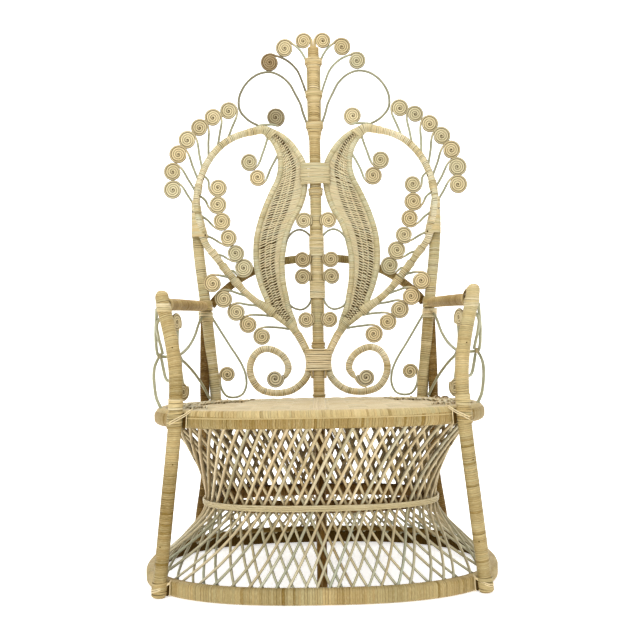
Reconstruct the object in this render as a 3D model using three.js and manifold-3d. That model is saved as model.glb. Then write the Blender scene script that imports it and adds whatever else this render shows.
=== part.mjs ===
// Peacock chair in natural rattan: wrapped pole frame on an oval base hoop, an hourglass skirt of
// crossing canes, a woven oval seat, and a tall fan back with woven S panels, scrolls and cane curls.
// Millimetres, +Z up. The sitter faces -Y, +X is to the right as the chair is seen from the front.
import * as THREE from 'three';
import { mergeVertices } from 'three/addons/utils/BufferGeometryUtils.js';
import Module from 'manifold-3d';

const wasm = await Module();
wasm.setup();

// ---------------------------------------------------------------- driving dimensions
const CENTRE_Y = -42.5;           // hoop centre, measured from the middle of the overall depth
const GAP = 0.4;                  // clearance kept between neighbouring pieces
const SEAT_TOP = 420;             // top of the seat rim above the floor
const HOOP_POWER = 2.5;           // how square the oval hoops are (2 is an ellipse)

const BASE_A = 433, BASE_B = 312, BASE_H = 36, BASE_T = 28;             // base hoop
const RIM_A = 404, RIM_B = 290, RIM_Y = -20, RIM_T = 28;                // seat rim
const RIM_BAND = [378.5, 397], RIM_ROLL = [397.4, SEAT_TOP];
const WAIST_Z = 183, WAIST_A = 268, WAIST_B = 140, WAIST_T = 22;        // inner waist hoop
const CANE_R = 3.4;                                                     // skirt cane radius
const LEG_R = 15.5, BACK_LEG_R = 13.5, ARM_R = 14.6, UPRIGHT_R = 15.4, SPINE_R = 17;  // wrapped poles
const BOW_R = 10.2, SCROLL_R = 10.2, BRACE_R = 13, STRUT_R = 12, BAR_R = 11;
const STEM_R = 3.3, COIL_T = 6, COIL_R = 24.2;                            // cane curls
const PANEL_T = 18;                                                     // woven panel thickness
const SPINE_TOP = 1462;

// skirt mid-surface: height, half width, half depth, centre line
const SKIRT = [
  [36.8, 404, 290, 0], [62, 376, 268, 0], [117, 320, 205, -2], [155, 291, 166, -3], [183, 283, 154, -4],
  [226, 287, 163, -6], [290, 309, 195, -11], [384, 366.5, 250, -20],
];

// ---------------------------------------------------------------- the curved, leaning back
const backY = (x, z) => 285 - 50 * (x / 290) ** 2 + 0.0875 * (z - SEAT_TOP);
const V = (x, y, z) => new THREE.Vector3(x, y + CENTRE_Y, z);
// a point of the back: across, height, how far in front of the back's surface
const B = (x, z, off = 0) => V(x, backY(Math.abs(x), z) - off, z);

// ---------------------------------------------------------------- solids
function solid(geometry) {
  let geo = geometry.clone();
  geo.deleteAttribute('normal');
  geo.deleteAttribute('uv');
  geo = mergeVertices(geo, 1e-3);
  const pos = Float32Array.from(geo.attributes.position.array);
  const raw = geo.index.array;
  const tri = [];
  for (let i = 0; i < raw.length; i += 3) {
    const [a, b, c] = [raw[i], raw[i + 1], raw[i + 2]];
    if (a !== b && b !== c && a !== c) tri.push(a, b, c);
  }
  const p = (i) => new THREE.Vector3(pos[3 * i], pos[3 * i + 1], pos[3 * i + 2]);
  let volume = 0;
  for (let i = 0; i < tri.length; i += 3) volume += p(tri[i]).dot(p(tri[i + 1]).cross(p(tri[i + 2])));
  if (volume < 0) for (let i = 0; i < tri.length; i += 3) [tri[i + 1], tri[i + 2]] = [tri[i + 2], tri[i + 1]];
  return new wasm.Manifold(new wasm.Mesh({ numProp: 3, vertProperties: pos, triVerts: Uint32Array.from(tri) }));
}
const join = (...list) => list.flat().reduce((a, b) => a.add(b));
const cut = (body, ...tools) => tools.flat().reduce((a, b) => a.subtract(b), body);
const largest = (body) => body.decompose().sort((a, b) => b.volume() - a.volume())[0];

function ngon(r, n) {
  const s = new THREE.Shape();
  for (let i = 0; i < n; i++) {
    const t = ((i + 0.5) / n) * 2 * Math.PI;
    if (i) s.lineTo(r * Math.cos(t), r * Math.sin(t));
    else s.moveTo(r * Math.cos(t), r * Math.sin(t));
  }
  s.closePath();
  return s;
}
function tube(points, r, steps, sides = 8) {
  const path = points.length === 2
    ? new THREE.LineCurve3(points[0], points[1])
    : new THREE.CatmullRomCurve3(points, false, 'centripetal');
  return solid(new THREE.ExtrudeGeometry(ngon(r, sides), { steps, bevelEnabled: false, extrudePath: path, curveSegments: 1 }));
}
function block(x0, x1, y0, y1, z0, z1) {
  const g = new THREE.BoxGeometry(x1 - x0, y1 - y0, z1 - z0);
  g.translate((x0 + x1) / 2, (y0 + y1) / 2 + CENTRE_Y, (z0 + z1) / 2);
  return solid(g);
}
const belowFloor = block(-600, 600, -600, 600, -80, 0);

// a point of a rounded-square oval at angle t
const oval = (a, b, t, n = HOOP_POWER) => {
  const f = (v) => Math.sign(v) * Math.abs(v) ** (2 / n);
  return [a * f(Math.cos(t)), b * f(Math.sin(t))];
};
function ovalPath(a, b, count, target) {
  const s = target;
  for (let i = 0; i < count; i++) {
    const [x, y] = oval(a, b, ((i + 0.5) / count) * 2 * Math.PI);
    if (i) s.lineTo(x, y);
    else s.moveTo(x, y);
  }
  s.closePath();
  return s;
}
function hoop(a, b, thick, z0, z1, yc, count, bevel, g = 0) {
  const s = ovalPath(a + g, b + g, count, new THREE.Shape());
  if (thick > 0) s.holes.push(ovalPath(a - thick - g, b - thick - g, count, new THREE.Path()));
  const e = new THREE.ExtrudeGeometry(s, {
    depth: z1 - z0 + 2 * g - 2 * bevel, bevelEnabled: bevel > 0, bevelThickness: bevel, bevelSize: bevel,
    bevelOffset: -bevel, bevelSegments: 1, curveSegments: 1,
  });
  e.translate(0, yc + CENTRE_Y, z0 - g + bevel);
  return solid(e);
}
function skirtShell(inner, outer, count) {
  const bottomToTop = SKIRT.map(([z]) => z);
  const profile = [
    ...bottomToTop.map((z) => new THREE.Vector2(1000 + outer, z)),
    ...bottomToTop.slice().reverse().map((z) => new THREE.Vector2(1000 + inner, z)),
    new THREE.Vector2(1000 + outer, bottomToTop[0]),
  ];
  const g = new THREE.LatheGeometry(profile, count);
  const p = g.attributes.position;
  for (let i = 0; i < p.count; i++) {
    const off = Math.hypot(p.getX(i), p.getZ(i)) - 1000;
    const t = Math.atan2(p.getZ(i), p.getX(i));
    const z = p.getY(i);
    const row = SKIRT.reduce((m, r) => (Math.abs(r[0] - z) < Math.abs(m[0] - z) ? r : m));
    const [x, y] = oval(row[1] + off, row[2] + off, t, 2.3);
    p.setXYZ(i, x, y + row[3] + CENTRE_Y, z);
  }
  return solid(g);
}
// flat coil: a disc that faces front, at a point of the back
function coil(x, z, off = 0, r = COIL_R, sides = 8) {
  const g = new THREE.CylinderGeometry(r, r, COIL_T, sides);
  const c = B(x, z, off);
  g.translate(c.x, c.y, c.z);
  return solid(g);
}
const cane = (points, steps = 3, r = STEM_R) => tube(points, r, steps, 4);

// ---------------------------------------------------------------- traced lines, right-hand side: across, height (, in front)
const BOW = [[140, 1213, 0], [191, 1201, 0], [229, 1187, 0], [263, 1165, 0], [291, 1135, 0], [312, 1101, 0], [327, 1063, 2],
  [336, 1023, 8], [339, 982, 16], [336, 942, 19], [327, 902, 19], [315, 863, 14], [291, 830, 5], [267, 797, 0], [242, 765, 0],
  [216, 734, 0], [186, 706, 0], [150, 681, 0]];
const PANEL_OUTER = [[146, 1193], [127, 1169], [114, 1142], [108, 1112], [110, 1081], [119, 1052], [133, 1025], [146, 997],
  [158, 968], [168, 939], [176, 910], [182, 879], [184, 849], [184, 818], [181, 787], [174, 757], [165, 728], [153, 699],
  [143, 666], [107, 636], [74, 612]];
const PANEL_INNER = [[130, 1216], [96, 1201], [67, 1177], [44, 1146], [28, 1114], [23, 1077], [24, 1039], [32, 1003], [46, 969],
  [65, 937], [79, 902], [88, 865], [94, 828], [94, 791], [91, 754], [84, 717], [76, 680], [61, 638], [58, 616]];
const SCROLL = [[74, 627], [56, 595], [41, 567], [29.5, 539], [27.8, 509], [35, 480], [55, 456], [81, 440], [111, 434], [141, 436],
  [169, 447], [188, 470], [197, 500], [192, 529], [175, 553], [149, 562], [120, 553], [98, 534], [88, 507], [97, 480]];
const SCROLL_COIL = [131, 475];
const BRACE = [[305, 688], [290, 711], [243, 755], [192, 788], [133, 814], [74, 825], [0, 829]];
const OUTER_COILS = [[250, 1261], [294, 1237], [333, 1203], [365, 1163], [389, 1118], [403, 1068], [403, 1017]];
const OUTER_STEMS = [[[227, 1252], [231, 1225], [249, 1176]], [[272, 1229], [272, 1195], [284, 1146]], [[310, 1200], [304, 1165], [308, 1114]],
  [[342, 1161], [333, 1128], [325, 1078]], [[367, 1120], [352, 1092], [335, 1047]], [[384, 1080], [367, 1054], [340, 1010, 10]],
  [[384, 1030], [367, 1006], [342, 968, 17]]];
const INNER_COILS = [[282, 1031], [283, 981], [273, 932], [255, 885], [234, 841], [211, 797]];
const INNER_STEMS = [[[330, 1062], [310, 1052], [302, 1024]], [[338, 1003, 12], [318, 992], [303, 972]], [[334, 946, 19], [312, 934], [291, 916]],
  [[318, 888, 17], [296, 880], [272, 868]], [[293, 834], [272, 832], [250, 822]], [[257, 786], [242, 788], [224, 780]]];
const LOWER_COILS = [[296, 748, 19], [267, 706, 6], [235, 668, 3], [200, 633, 3], [161, 598, 3]];
const LOWER_STEMS = [[[288, 770, 18], [270, 772, 10], [246, 766, 2]], [[268, 728, 6], [226, 722, 4], [191, 708, 2]], [[236, 691, 3], [200, 690, 3], [150, 683, 2]],
  [[202, 656, 3], [171, 660, 3], [130, 655, 2]], [[162, 621, 3], [129, 624, 3], [84, 618, 2]]];
const DROP_COILS = [[192, 1111], [170, 1066]];
const DROP_STEMS = [[[140, 1184], [153, 1142], [174, 1097]], [[110, 1134], [131, 1094], [153, 1051]]];
const CENTRE_COILS = [[36, 935], [41, 821], [42, 769], [34, 645]];
const CENTRE_ARCHES = [[[86, 880], [52, 904], [19, 888]], [[75, 684], [46, 675], [19, 697]]];
const CREST_COILS = [[29, 1486], [85, 1462], [130, 1418]];
const CREST_D = [115, 1250];
const CREST_STEMS = [[[66, 1474], [42, 1460], [21, 1424]], [[117, 1432], [78, 1424], [50, 1396], [35, 1361], [21, 1316]]];
const CREST_LOOP = [[21, 1228], [33, 1262], [41, 1291], [56, 1322], [73, 1353], [98, 1376], [129, 1387], [161, 1381], [189, 1361],
  [209, 1334], [221, 1301], [219, 1267], [199, 1241], [168, 1224]];
const TEAR = [[300, 652], [278, 615], [263, 590], [248, 565], [232, 540], [218, 514], [209, 487], [208, 456], [219, 433], [240, 425.5],
  [262, 430], [275, 453], [277, 478]];
const TEAR_COIL = [259.5, 490];

// ---------------------------------------------------------------- poles, each as a function of side and extra radius
const pole = {
  spine: (g = 0) => cut(tube([V(0, 328, -12), V(0, 326, 40), V(0, 306, 230), V(0, 287, 370), V(0, 286, 428), V(0, 327, 900),
    V(0, backY(0, SPINE_TOP), SPINE_TOP)], SPINE_R + g, 12, 10), belowFloor),
  frontLeg: (s, g = 0) => {
    const p = [[371, -224.6, -24], [342, -238, 215], [327.5, -245.5, 330], [320, -249, 400], [318, -248.5, 440], [318.5, -242.5, 505],
      [327.5, -232.5, 570], [337, -226.5, 613], [347, -223, 655], [350, -222, 677]];
    const path = p.map(([x, y, z]) => V(s * x, y, z));
    const round = new THREE.SphereGeometry(LEG_R + g, 8, 6);
    round.rotateX(Math.PI / 2);
    round.translate(s * 350, -222 + CENTRE_Y, 677);
    return cut(join(tube(path, LEG_R + g, 12), solid(round)), belowFloor);
  },
  backLeg: (s, g = 0) => cut(tube([V(s * 356, 243, -24), V(s * 341, 232, 94), V(s * 323, 224, 213), V(s * 320, 217, 400), V(s * 321, 223, 460), V(s * 324, 277, 648)],
    BACK_LEG_R + g, 7), belowFloor),
  upright: (s, g = 0) => tube([V(s * 290.5, 231, 382), V(s * 291.5, 233, 430), V(s * 314.5, 248, 655), V(s * 336.5, 263, 837), V(s * 343.5, 275, 962)],
    UPRIGHT_R + g, 9),
  armRail: (s, g = 0) => tube([V(s * 349, -222, 658), V(s * 342, 0, 672), V(s * 314, 242, 684)], ARM_R + g, 6),
  bow: (s, g = 0) => tube(BOW.map(([x, z, o]) => B(s * x, z, o)), BOW_R + g, 22),
  brace: (g = 0) => tube([...BRACE.map(([x, z]) => B(-x, z, -28.2)), ...BRACE.slice(0, -1).reverse().map(([x, z]) => B(x, z, -28.2))], BRACE_R + g, 20),
  scroll: (s, g = 0) => tube(SCROLL.map(([x, z]) => B(s * x, z)), SCROLL_R + g, 26),
  strut: (g = 0) => tube([V(0, -257, 14), V(0, 78, 354)], STRUT_R + g, 1),
  panel: (s, g = 0) => {
    const outline = [...PANEL_OUTER, ...PANEL_INNER.slice().reverse()];
    const shape = new THREE.Shape();
    const n = outline.length;
    const centre = (i) => new THREE.Vector2(...outline[(i + n) % n]);
    outline.forEach((q, i) => {
      const along = centre(i + 1).sub(centre(i - 1)).normalize();
      const x = q[0] + g * along.y, z = q[1] - g * along.x;
      const grown = [q[0] - (x - q[0]), q[1] - (z - q[1])];
      if (i) shape.lineTo(...grown);
      else shape.moveTo(...grown);
    });
    shape.closePath();
    const e = new THREE.ExtrudeGeometry(shape, { depth: PANEL_T + 2 * g, bevelEnabled: false, curveSegments: 1 });
    const p = e.attributes.position;
    for (let i = 0; i < p.count; i++) {
      const x = p.getX(i), z = p.getY(i), d = p.getZ(i) - PANEL_T / 2 - g;
      p.setXYZ(i, s * x, backY(x, z) + d + CENTRE_Y, z);
    }
    return solid(e);
  },
};
const baseHoop = (g = 0) => hoop(BASE_A, BASE_B, BASE_T, 0, BASE_H, 0, 40, 6, g);
const rimBand = (g = 0) => hoop(RIM_A, RIM_B, RIM_T, RIM_BAND[0], RIM_BAND[1], RIM_Y, 40, 4, g);
const rimRoll = (g = 0) => hoop(RIM_A, RIM_B, RIM_T, RIM_ROLL[0], RIM_ROLL[1], RIM_Y, 40, 7, g);

// a row of coils joined where they touch, with their stems
function curlRow(s, coils, stems, r = COIL_R, off = 0) {
  const bodies = coils.map(([x, z, o]) => coil(s * x, z, o ?? off, r));
  for (let i = 1; i < coils.length; i++) {
    const [a, b] = [coils[i - 1], coils[i]];
    bodies.push(cane([B(s * a[0], a[1], a[2] ?? off), B(s * b[0], b[1], b[2] ?? off)], 1, 2.4));
  }
  stems.forEach((st, i) => {
    // the end of the stem that runs into its coil stops just inside the coil's outer turn
    const [cx, cz, co] = coils[i];
    const far = (q) => Math.hypot(q[0] - cx, q[1] - cz);
    const end = far(st[0]) < far(st[2]) ? 0 : 2;
    const pts = st.map((q) => [...q]);
    const k = (r - 4) / far(st[end]);
    const [ex, ez] = [cx + (st[end][0] - cx) * k, cz + (st[end][1] - cz) * k];
    const level = backY(cx, cz) - (co ?? off);
    pts[end] = [ex, ez, backY(ex, ez) - level];
    pts[1] = [st[1][0], st[1][1], ((st[1][2] ?? off) + backY(st[1][0], st[1][1]) - level) / 2];
    bodies.push(cane(pts.map(([x, z, o]) => B(s * x, z, o ?? off)), 2));
  });
  return join(bodies);
}
// a short wrapped sleeve round a line
const sleeve = (a, b, r, sides = 10) => tube([a, b], r, 1, sides);

// ---------------------------------------------------------------- pieces
const RATTAN = [0xc9b27c, 0.55], PALE = [0xc4b88e, 0.6], CURL = [0xddbe8e, 0.5], DARK = [0x8c6e46, 0.6], SKIN = [0xcdb482, 0.5];
const parts = [];
const add = (name, body, [colour, rough]) => parts.push([name, largest(body), colour, rough]);

// base, skirt and seat
const legs = [1, -1].flatMap((s) => [pole.frontLeg(s, GAP), pole.backLeg(s, GAP)]);
const spineG = pole.spine(GAP);
const uprightsG = [pole.upright(1, GAP), pole.upright(-1, GAP)];
add('base_hoop', cut(baseHoop(), legs, spineG), RATTAN);
add('seat_rim_band', cut(rimBand(), legs, uprightsG, spineG), RATTAN);
add('seat_rim_roll', cut(rimRoll(), legs, uprightsG, spineG), RATTAN);
add('waist_hoop', hoop(WAIST_A, WAIST_B, WAIST_T, WAIST_Z - 18, WAIST_Z + 13, -4, 30, 5), DARK);
add('skirt_outer_canes', skirtShell(0.3, 2 * CANE_R - 0.4, 30), SKIN);
add('skirt_inner_canes', skirtShell(-0.3, -2 * CANE_R + 0.4, 30), SKIN);
add('waist_band', hoop(283 + 2 * CANE_R + 6.8, 154 + 2 * CANE_R + 10, 5.4, WAIST_Z - 6.5, WAIST_Z + 6.5, -4, 32, 0), RATTAN);
add('seat_weave', cut(hoop(RIM_A - RIM_T - GAP, RIM_B - RIM_T - GAP, 0, 409, 418, RIM_Y, 40, 0), uprightsG, spineG), PALE);
for (const [name, y] of [['seat_bar_front', -150], ['seat_bar_middle', -20], ['seat_bar_rear', 110]]) {
  const half = oval(RIM_A - RIM_T, RIM_B - RIM_T, Math.asin(Math.min(1, Math.abs((y - RIM_Y) / (RIM_B - RIM_T)) ** (HOOP_POWER / 2))))[0] - 9;
  add(name, tube([V(-half, y, 409 - GAP - BAR_R), V(half, y, 409 - GAP - BAR_R)], BAR_R, 1), DARK);
}
add('front_strut', cut(pole.strut(), hoop(WAIST_A, WAIST_B, WAIST_T, WAIST_Z - 12, WAIST_Z + 12, -4, 30, 5, GAP), baseHoop(GAP), belowFloor), DARK);

// frame poles
const panelsG = { 1: pole.panel(1, GAP), '-1': pole.panel(-1, GAP) };
const scrollsG = { 1: pole.scroll(1, GAP), '-1': pole.scroll(-1, GAP) };
for (const [s, side] of [[1, 'right'], [-1, 'left']]) {
  const post = pole.frontLeg(s, GAP), back = pole.backLeg(s, GAP), up = pole.upright(s, GAP), rail = pole.armRail(s, GAP);
  const bow = pole.bow(s, GAP), panel = panelsG[s], scroll = scrollsG[s];
  add(`front_leg_${side}`, pole.frontLeg(s), RATTAN);
  add(`back_leg_${side}`, cut(pole.backLeg(s), up), DARK);
  add(`back_upright_${side}`, pole.upright(s), RATTAN);
  add(`arm_rail_${side}`, cut(pole.armRail(s), post, up), RATTAN);
  add(`heart_bow_${side}`, cut(pole.bow(s), panel, up), RATTAN);
  add(`woven_panel_${side}`, pole.panel(s), PALE);
  add(`scroll_${side}`, cut(join(pole.scroll(s), coil(s * SCROLL_COIL[0], SCROLL_COIL[1], 0, 28)), panel, spineG), RATTAN);

  // wrapped bindings
  const rimsG = [rimBand(GAP), rimRoll(GAP)];
  add(`arm_front_binding_${side}`, cut(sleeve(V(s * 348.6, -208, 659), V(s * 347.7, -180, 661), 18.5), rail, post), RATTAN);
  add(`arm_back_binding_${side}`, cut(sleeve(V(s * 320.5, 190, 681.5), V(s * 317, 222, 683), 18.5), rail, up, back), RATTAN);
  add(`seat_lashing_${side}`, cut(sleeve(V(s * 322.4, -248, 379), V(s * 318.8, -249.2, 419), 19.5), post, rimsG), RATTAN);
  add(`base_lashing_${side}`, cut(sleeve(V(s * 367.6, -226, 3), V(s * 363.6, -228, 37), 19.5), post, baseHoop(GAP)), RATTAN);

  // cane curls
  add(`outer_fringe_${side}`, cut(curlRow(s, OUTER_COILS, OUTER_STEMS), bow, up), CURL);
  add(`inner_fringe_${side}`, cut(curlRow(s, INNER_COILS, INNER_STEMS), bow, up, panel), CURL);
  add(`lower_fringe_${side}`, cut(curlRow(s, LOWER_COILS, LOWER_STEMS), bow, up, panel), CURL);
  add(`heart_drops_${side}`, cut(curlRow(s, DROP_COILS, DROP_STEMS), panel, bow), CURL);
  const runner = cane([B(s * 19.5, 930, 13), B(s * 19.5, 790, 13), B(s * 19.5, 648, 13)], 2, 2.4);
  add(`centre_curls_${side}`, cut(join(CENTRE_COILS.map(([x, z]) => coil(s * x, z, 13, 23)), runner,
    CENTRE_ARCHES.map((a) => cane(a.map(([x, z]) => B(s * x, z, 13)), 4, 2.4))), spineG, panel), DARK);
  const crestRunner = cane([B(s * 21, 1475), B(s * 21, 1350), B(s * 21, 1226)], 2, 2.6);
  const crest = join(CREST_COILS.map(([x, z]) => coil(s * x, z)), coil(s * CREST_D[0], CREST_D[1]), crestRunner,
    CREST_STEMS.map((st) => cane(st.map(([x, z]) => B(s * x, z)), 4)),
    cane(CREST_LOOP.map(([x, z]) => B(s * x, z)), 16), cane([[107, 1232], [128, 1227], [168, 1222]].map(([x, z]) => B(s * x, z)), 3));
  add(`crest_curls_${side}`, cut(crest, spineG, bow, panel), CURL);
  add(`teardrop_curl_${side}`, cut(join(cane(TEAR.map(([x, z]) => B(s * x, z)), 12), coil(s * TEAR_COIL[0], TEAR_COIL[1], 0, 21.5)), up, scroll), CURL);

  // open side panel under the arm: curved canes from the posts to a tie in the middle, two coils seen edge-on from the front
  const sideCoil = (x, y, z) => {
    const g = new THREE.CylinderGeometry(22, 22, COIL_T, 8);
    g.rotateZ(Math.PI / 2);
    g.translate(s * x, y + CENTRE_Y, z);
    return solid(g);
  };
  const P = (list) => list.map(([x, y, z]) => V(s * x, y, z));
  add(`arm_curls_${side}`, cut(join(
    sideCoil(331, -150, 620), sideCoil(322, -128, 458),
    cane(P([[316, 226, 645], [331, 130, 596], [347, 0, 537]]), 4), cane(P([[347, 0, 537], [332, 118, 488], [312, 204, 426]]), 4),
    cane(P([[331, -130, 612], [340, -90, 572], [347, 0, 537]]), 4), cane(P([[323, -110, 465], [336, -70, 504], [347, 0, 537]]), 4),
    cane(P([[366, -212, 642], [386, -110, 590], [393, -60, 542], [347, 0, 537]]), 6), cane(P([[393, -60, 542], [399, -50, 492], [388, -100, 426]]), 4),
  ), post, up, rail, back, rimsG), CURL);
}
add('spine_pole', pole.spine(), RATTAN);
add('back_brace', cut(pole.brace(), spineG, uprightsG, pole.backLeg(1, GAP), pole.backLeg(-1, GAP)), DARK);

// wraps and collars on the spine
add('panel_bridge', cut(block(-41, 41, backY(0, 1075) - SPINE_R - 9, backY(0, 1075) - SPINE_R + 2, 1041, 1109), spineG, panelsG[1], panelsG['-1']), PALE);
const crestBodies = parts.filter(([n]) => n.startsWith('crest_curls'));
const grown = [1, -1].map((s) => cane([B(s * 21, 1475), B(s * 21, 1350), B(s * 21, 1226)], 2, 3.4));
for (const [name, z] of [['crest_collar_top', 1420], ['crest_collar_middle', 1320], ['crest_collar_lower', 1224]]) {
  add(name, cut(sleeve(B(0, z - 9), B(0, z + 9), 27, 12), spineG, grown,
    crestBodies.map(([, b]) => b)), RATTAN);
}
add('spine_binding_middle', cut(sleeve(B(0, 706), B(0, 757), 21.5, 10), spineG), RATTAN);
add('spine_binding_upper', cut(sleeve(B(0, 1012), B(0, 1032), 21.5, 10), spineG), RATTAN);
add('scroll_collar', cut(block(-40.3, 40.3, backY(0, 527) - 21, backY(0, 527) + 21, 496, 560), spineG, scrollsG[1], scrollsG['-1']), RATTAN);

// ---------------------------------------------------------------- scene graph
const chair = new THREE.Group();
for (const [name, body, colour, rough] of parts) {
  const m = body.getMesh();
  const g = new THREE.BufferGeometry();
  g.setAttribute('position', new THREE.BufferAttribute(Float32Array.from(m.vertProperties), 3));
  g.setIndex(new THREE.BufferAttribute(Uint32Array.from(m.triVerts), 1));
  g.computeVertexNormals();
  const mesh = new THREE.Mesh(g, new THREE.MeshStandardMaterial({ color: colour, roughness: rough, metalness: 0 }));
  mesh.name = name;
  chair.add(mesh);
}
export default chair;
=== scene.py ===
import math

import bpy
import numpy as np
from mathutils import Matrix, Vector


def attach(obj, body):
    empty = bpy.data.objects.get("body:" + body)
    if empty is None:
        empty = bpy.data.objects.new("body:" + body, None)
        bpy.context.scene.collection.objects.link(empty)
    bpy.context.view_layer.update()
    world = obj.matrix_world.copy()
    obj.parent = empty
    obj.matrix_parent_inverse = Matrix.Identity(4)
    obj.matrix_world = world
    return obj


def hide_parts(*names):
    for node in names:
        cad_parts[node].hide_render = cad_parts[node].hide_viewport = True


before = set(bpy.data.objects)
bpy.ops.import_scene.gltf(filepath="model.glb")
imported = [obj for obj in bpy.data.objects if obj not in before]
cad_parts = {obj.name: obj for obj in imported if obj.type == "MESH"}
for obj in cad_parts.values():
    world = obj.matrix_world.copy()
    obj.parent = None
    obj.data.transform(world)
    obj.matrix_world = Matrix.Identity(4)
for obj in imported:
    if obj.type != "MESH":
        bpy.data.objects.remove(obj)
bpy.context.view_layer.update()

rng = np.random.default_rng(20)
CENTRE_Y = -42.5  # ring coordinates (mm, hoop centre) to the row frame
X, Y, Z = np.eye(3)


# ---------------------------------------------------------------- paths (mm)
def unit(v):
    return v / np.maximum(np.linalg.norm(v, axis=-1, keepdims=True), 1e-12)


def arc(points, closed=False):
    ends = np.vstack([points, points[:1]]) if closed else points
    return np.concatenate([[0], np.cumsum(np.linalg.norm(np.diff(ends, axis=0), axis=1))])


def even(points, step):
    s = arc(points)
    n = max(3, int(round(s[-1] / step)) + 1)
    q = np.linspace(0, s[-1], n)
    return np.stack([np.interp(q, s, points[:, k]) for k in range(3)], 1)


def curve(control, step=2.0):
    """Smooth centripetal curve through the control points, evenly sampled."""
    c = np.asarray(control, float)
    if len(c) == 2:
        return even(c, step)
    t = np.concatenate([[0], np.cumsum(np.sqrt(np.linalg.norm(np.diff(c, axis=0), axis=1)))])
    m = np.zeros_like(c)
    for i in range(1, len(c) - 1):
        h0, h1 = t[i] - t[i - 1], t[i + 1] - t[i]
        m[i] = ((c[i] - c[i - 1]) / h0 * h1 + (c[i + 1] - c[i]) / h1 * h0) / (h0 + h1)
    m[0] = 2 * (c[1] - c[0]) / (t[1] - t[0]) - m[1]
    m[-1] = 2 * (c[-1] - c[-2]) / (t[-1] - t[-2]) - m[-2]
    out = []
    u = np.linspace(0, 1, 20, endpoint=False)[:, None]
    for i in range(len(c) - 1):
        h = t[i + 1] - t[i]
        out.append(
            (2 * u**3 - 3 * u**2 + 1) * c[i]
            + (u**3 - 2 * u**2 + u) * h * m[i]
            + (3 * u**2 - 2 * u**3) * c[i + 1]
            + (u**3 - u**2) * h * m[i + 1]
        )
    out.append(c[-1:])
    return even(np.concatenate(out), step)


def tangents(p, closed=False):
    if closed:
        return unit(np.roll(p, -1, 0) - np.roll(p, 1, 0))
    return unit(np.gradient(p, axis=0))


def oval(a, b, power, count, yc=0.0, z=0.0):
    """Closed superellipse, evenly spaced, from the front centre towards +X."""
    t = np.linspace(-math.pi / 2, 1.5 * math.pi, 1441)
    c, s = np.cos(t), np.sin(t)
    p = np.stack(
        [
            a * np.sign(c) * np.abs(c) ** (2 / power),
            yc + b * np.sign(s) * np.abs(s) ** (2 / power),
            np.full_like(t, z),
        ],
        1,
    )
    q = arc(p)
    want = np.linspace(0, q[-1], count, endpoint=False)
    return np.stack([np.interp(want, q, p[:, k]) for k in range(3)], 1)


def back_y(x, z):
    return 285 - 50 * (x / 290) ** 2 + 0.0875 * (z - 420)


def on_back(pts, s=1, off=0.0):
    """[x, z] or [x, z, off] on the surface of the back, s = side."""
    return np.array([[s * p[0], back_y(p[0], p[1]) - (p[2] if len(p) > 2 else off), p[1]] for p in pts])


def side(pts, s):
    return np.array([[s * p[0], p[1], p[2]] for p in pts], float)


# ---------------------------------------------------------------- meshes
class Piece:
    """Collects swept grids and makes one mesh object of them."""

    def __init__(self):
        self.v, self.q, self.t, self.n = [], [], [], 0
        self.tone, self.hue, self.groove, self.fib = [], [], [], []

    def _put(self, v, tone, hue, groove, fib):
        self.v.append(v)
        self.tone.append(tone)
        self.hue.append(hue)
        self.groove.append(groove)
        self.fib.append(fib)
        self.n += len(v)

    def grid(self, v, tone, hue, groove, fib, closed=False, cap=True):
        n, m, _ = v.shape
        idx = self.n + np.arange(n * m).reshape(n, m)
        nxt = np.roll(idx, -1, 1)
        if closed:
            a, b, c, d = idx, nxt, np.roll(nxt, -1, 0), np.roll(idx, -1, 0)
        else:
            a, b, c, d = idx[:-1], nxt[:-1], nxt[1:], idx[1:]
        self.q.append(np.stack([a, b, c, d], -1).reshape(-1, 4))
        full = [np.broadcast_to(np.asarray(x, float), (n, m)) for x in (tone, hue, groove)]
        self._put(v.reshape(-1, 3), *[x.ravel() for x in full], fib.reshape(-1, 3))
        if cap and not closed:
            for row, flip in ((0, True), (n - 1, False)):
                k = self.n
                self._put(
                    v[row].mean(0)[None],
                    *[np.array([x[row].mean()]) for x in full],
                    fib[row].mean(0)[None],
                )
                i, j = (nxt[row], idx[row]) if flip else (idx[row], nxt[row])
                self.t.append(np.stack([np.full(m, k), i, j], -1))

    def build(self, node, slot, material):
        v = (np.concatenate(self.v) + [0, CENTRE_Y, 0]) * 0.001
        q = np.concatenate(self.q)
        t = np.concatenate(self.t) if self.t else np.zeros((0, 3), int)
        me = bpy.data.meshes.new("look." + node)
        me.vertices.add(len(v))
        me.vertices.foreach_set("co", v.astype(np.float32).ravel())
        me.loops.add(q.size + t.size)
        me.loops.foreach_set("vertex_index", np.concatenate([q.ravel(), t.ravel()]).astype(np.int32))
        me.polygons.add(len(q) + len(t))
        starts = np.concatenate([np.arange(len(q)) * 4, q.size + np.arange(len(t)) * 3])
        me.polygons.foreach_set("loop_start", starts.astype(np.int32))
        me.update(calc_edges=True)
        me.polygons.foreach_set("use_smooth", np.ones(len(q) + len(t), bool))
        for name, data in (("tone", self.tone), ("hue", self.hue), ("groove", self.groove)):
            at = me.attributes.new(name, "FLOAT", "POINT")
            at.data.foreach_set("value", np.concatenate(data).astype(np.float32))
        at = me.attributes.new("fib", "FLOAT_VECTOR", "POINT")
        at.data.foreach_set("vector", np.concatenate(self.fib).astype(np.float32).ravel())
        me.materials.append(material)
        me.update()
        ob = bpy.data.objects.new("look." + node, me)
        bpy.context.collection.objects.link(ob)
        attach(ob, "root")
        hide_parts(node)
        return ob


def around(sides):
    t = 2 * math.pi * np.arange(sides) / sides
    return np.cos(t), np.sin(t)


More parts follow.
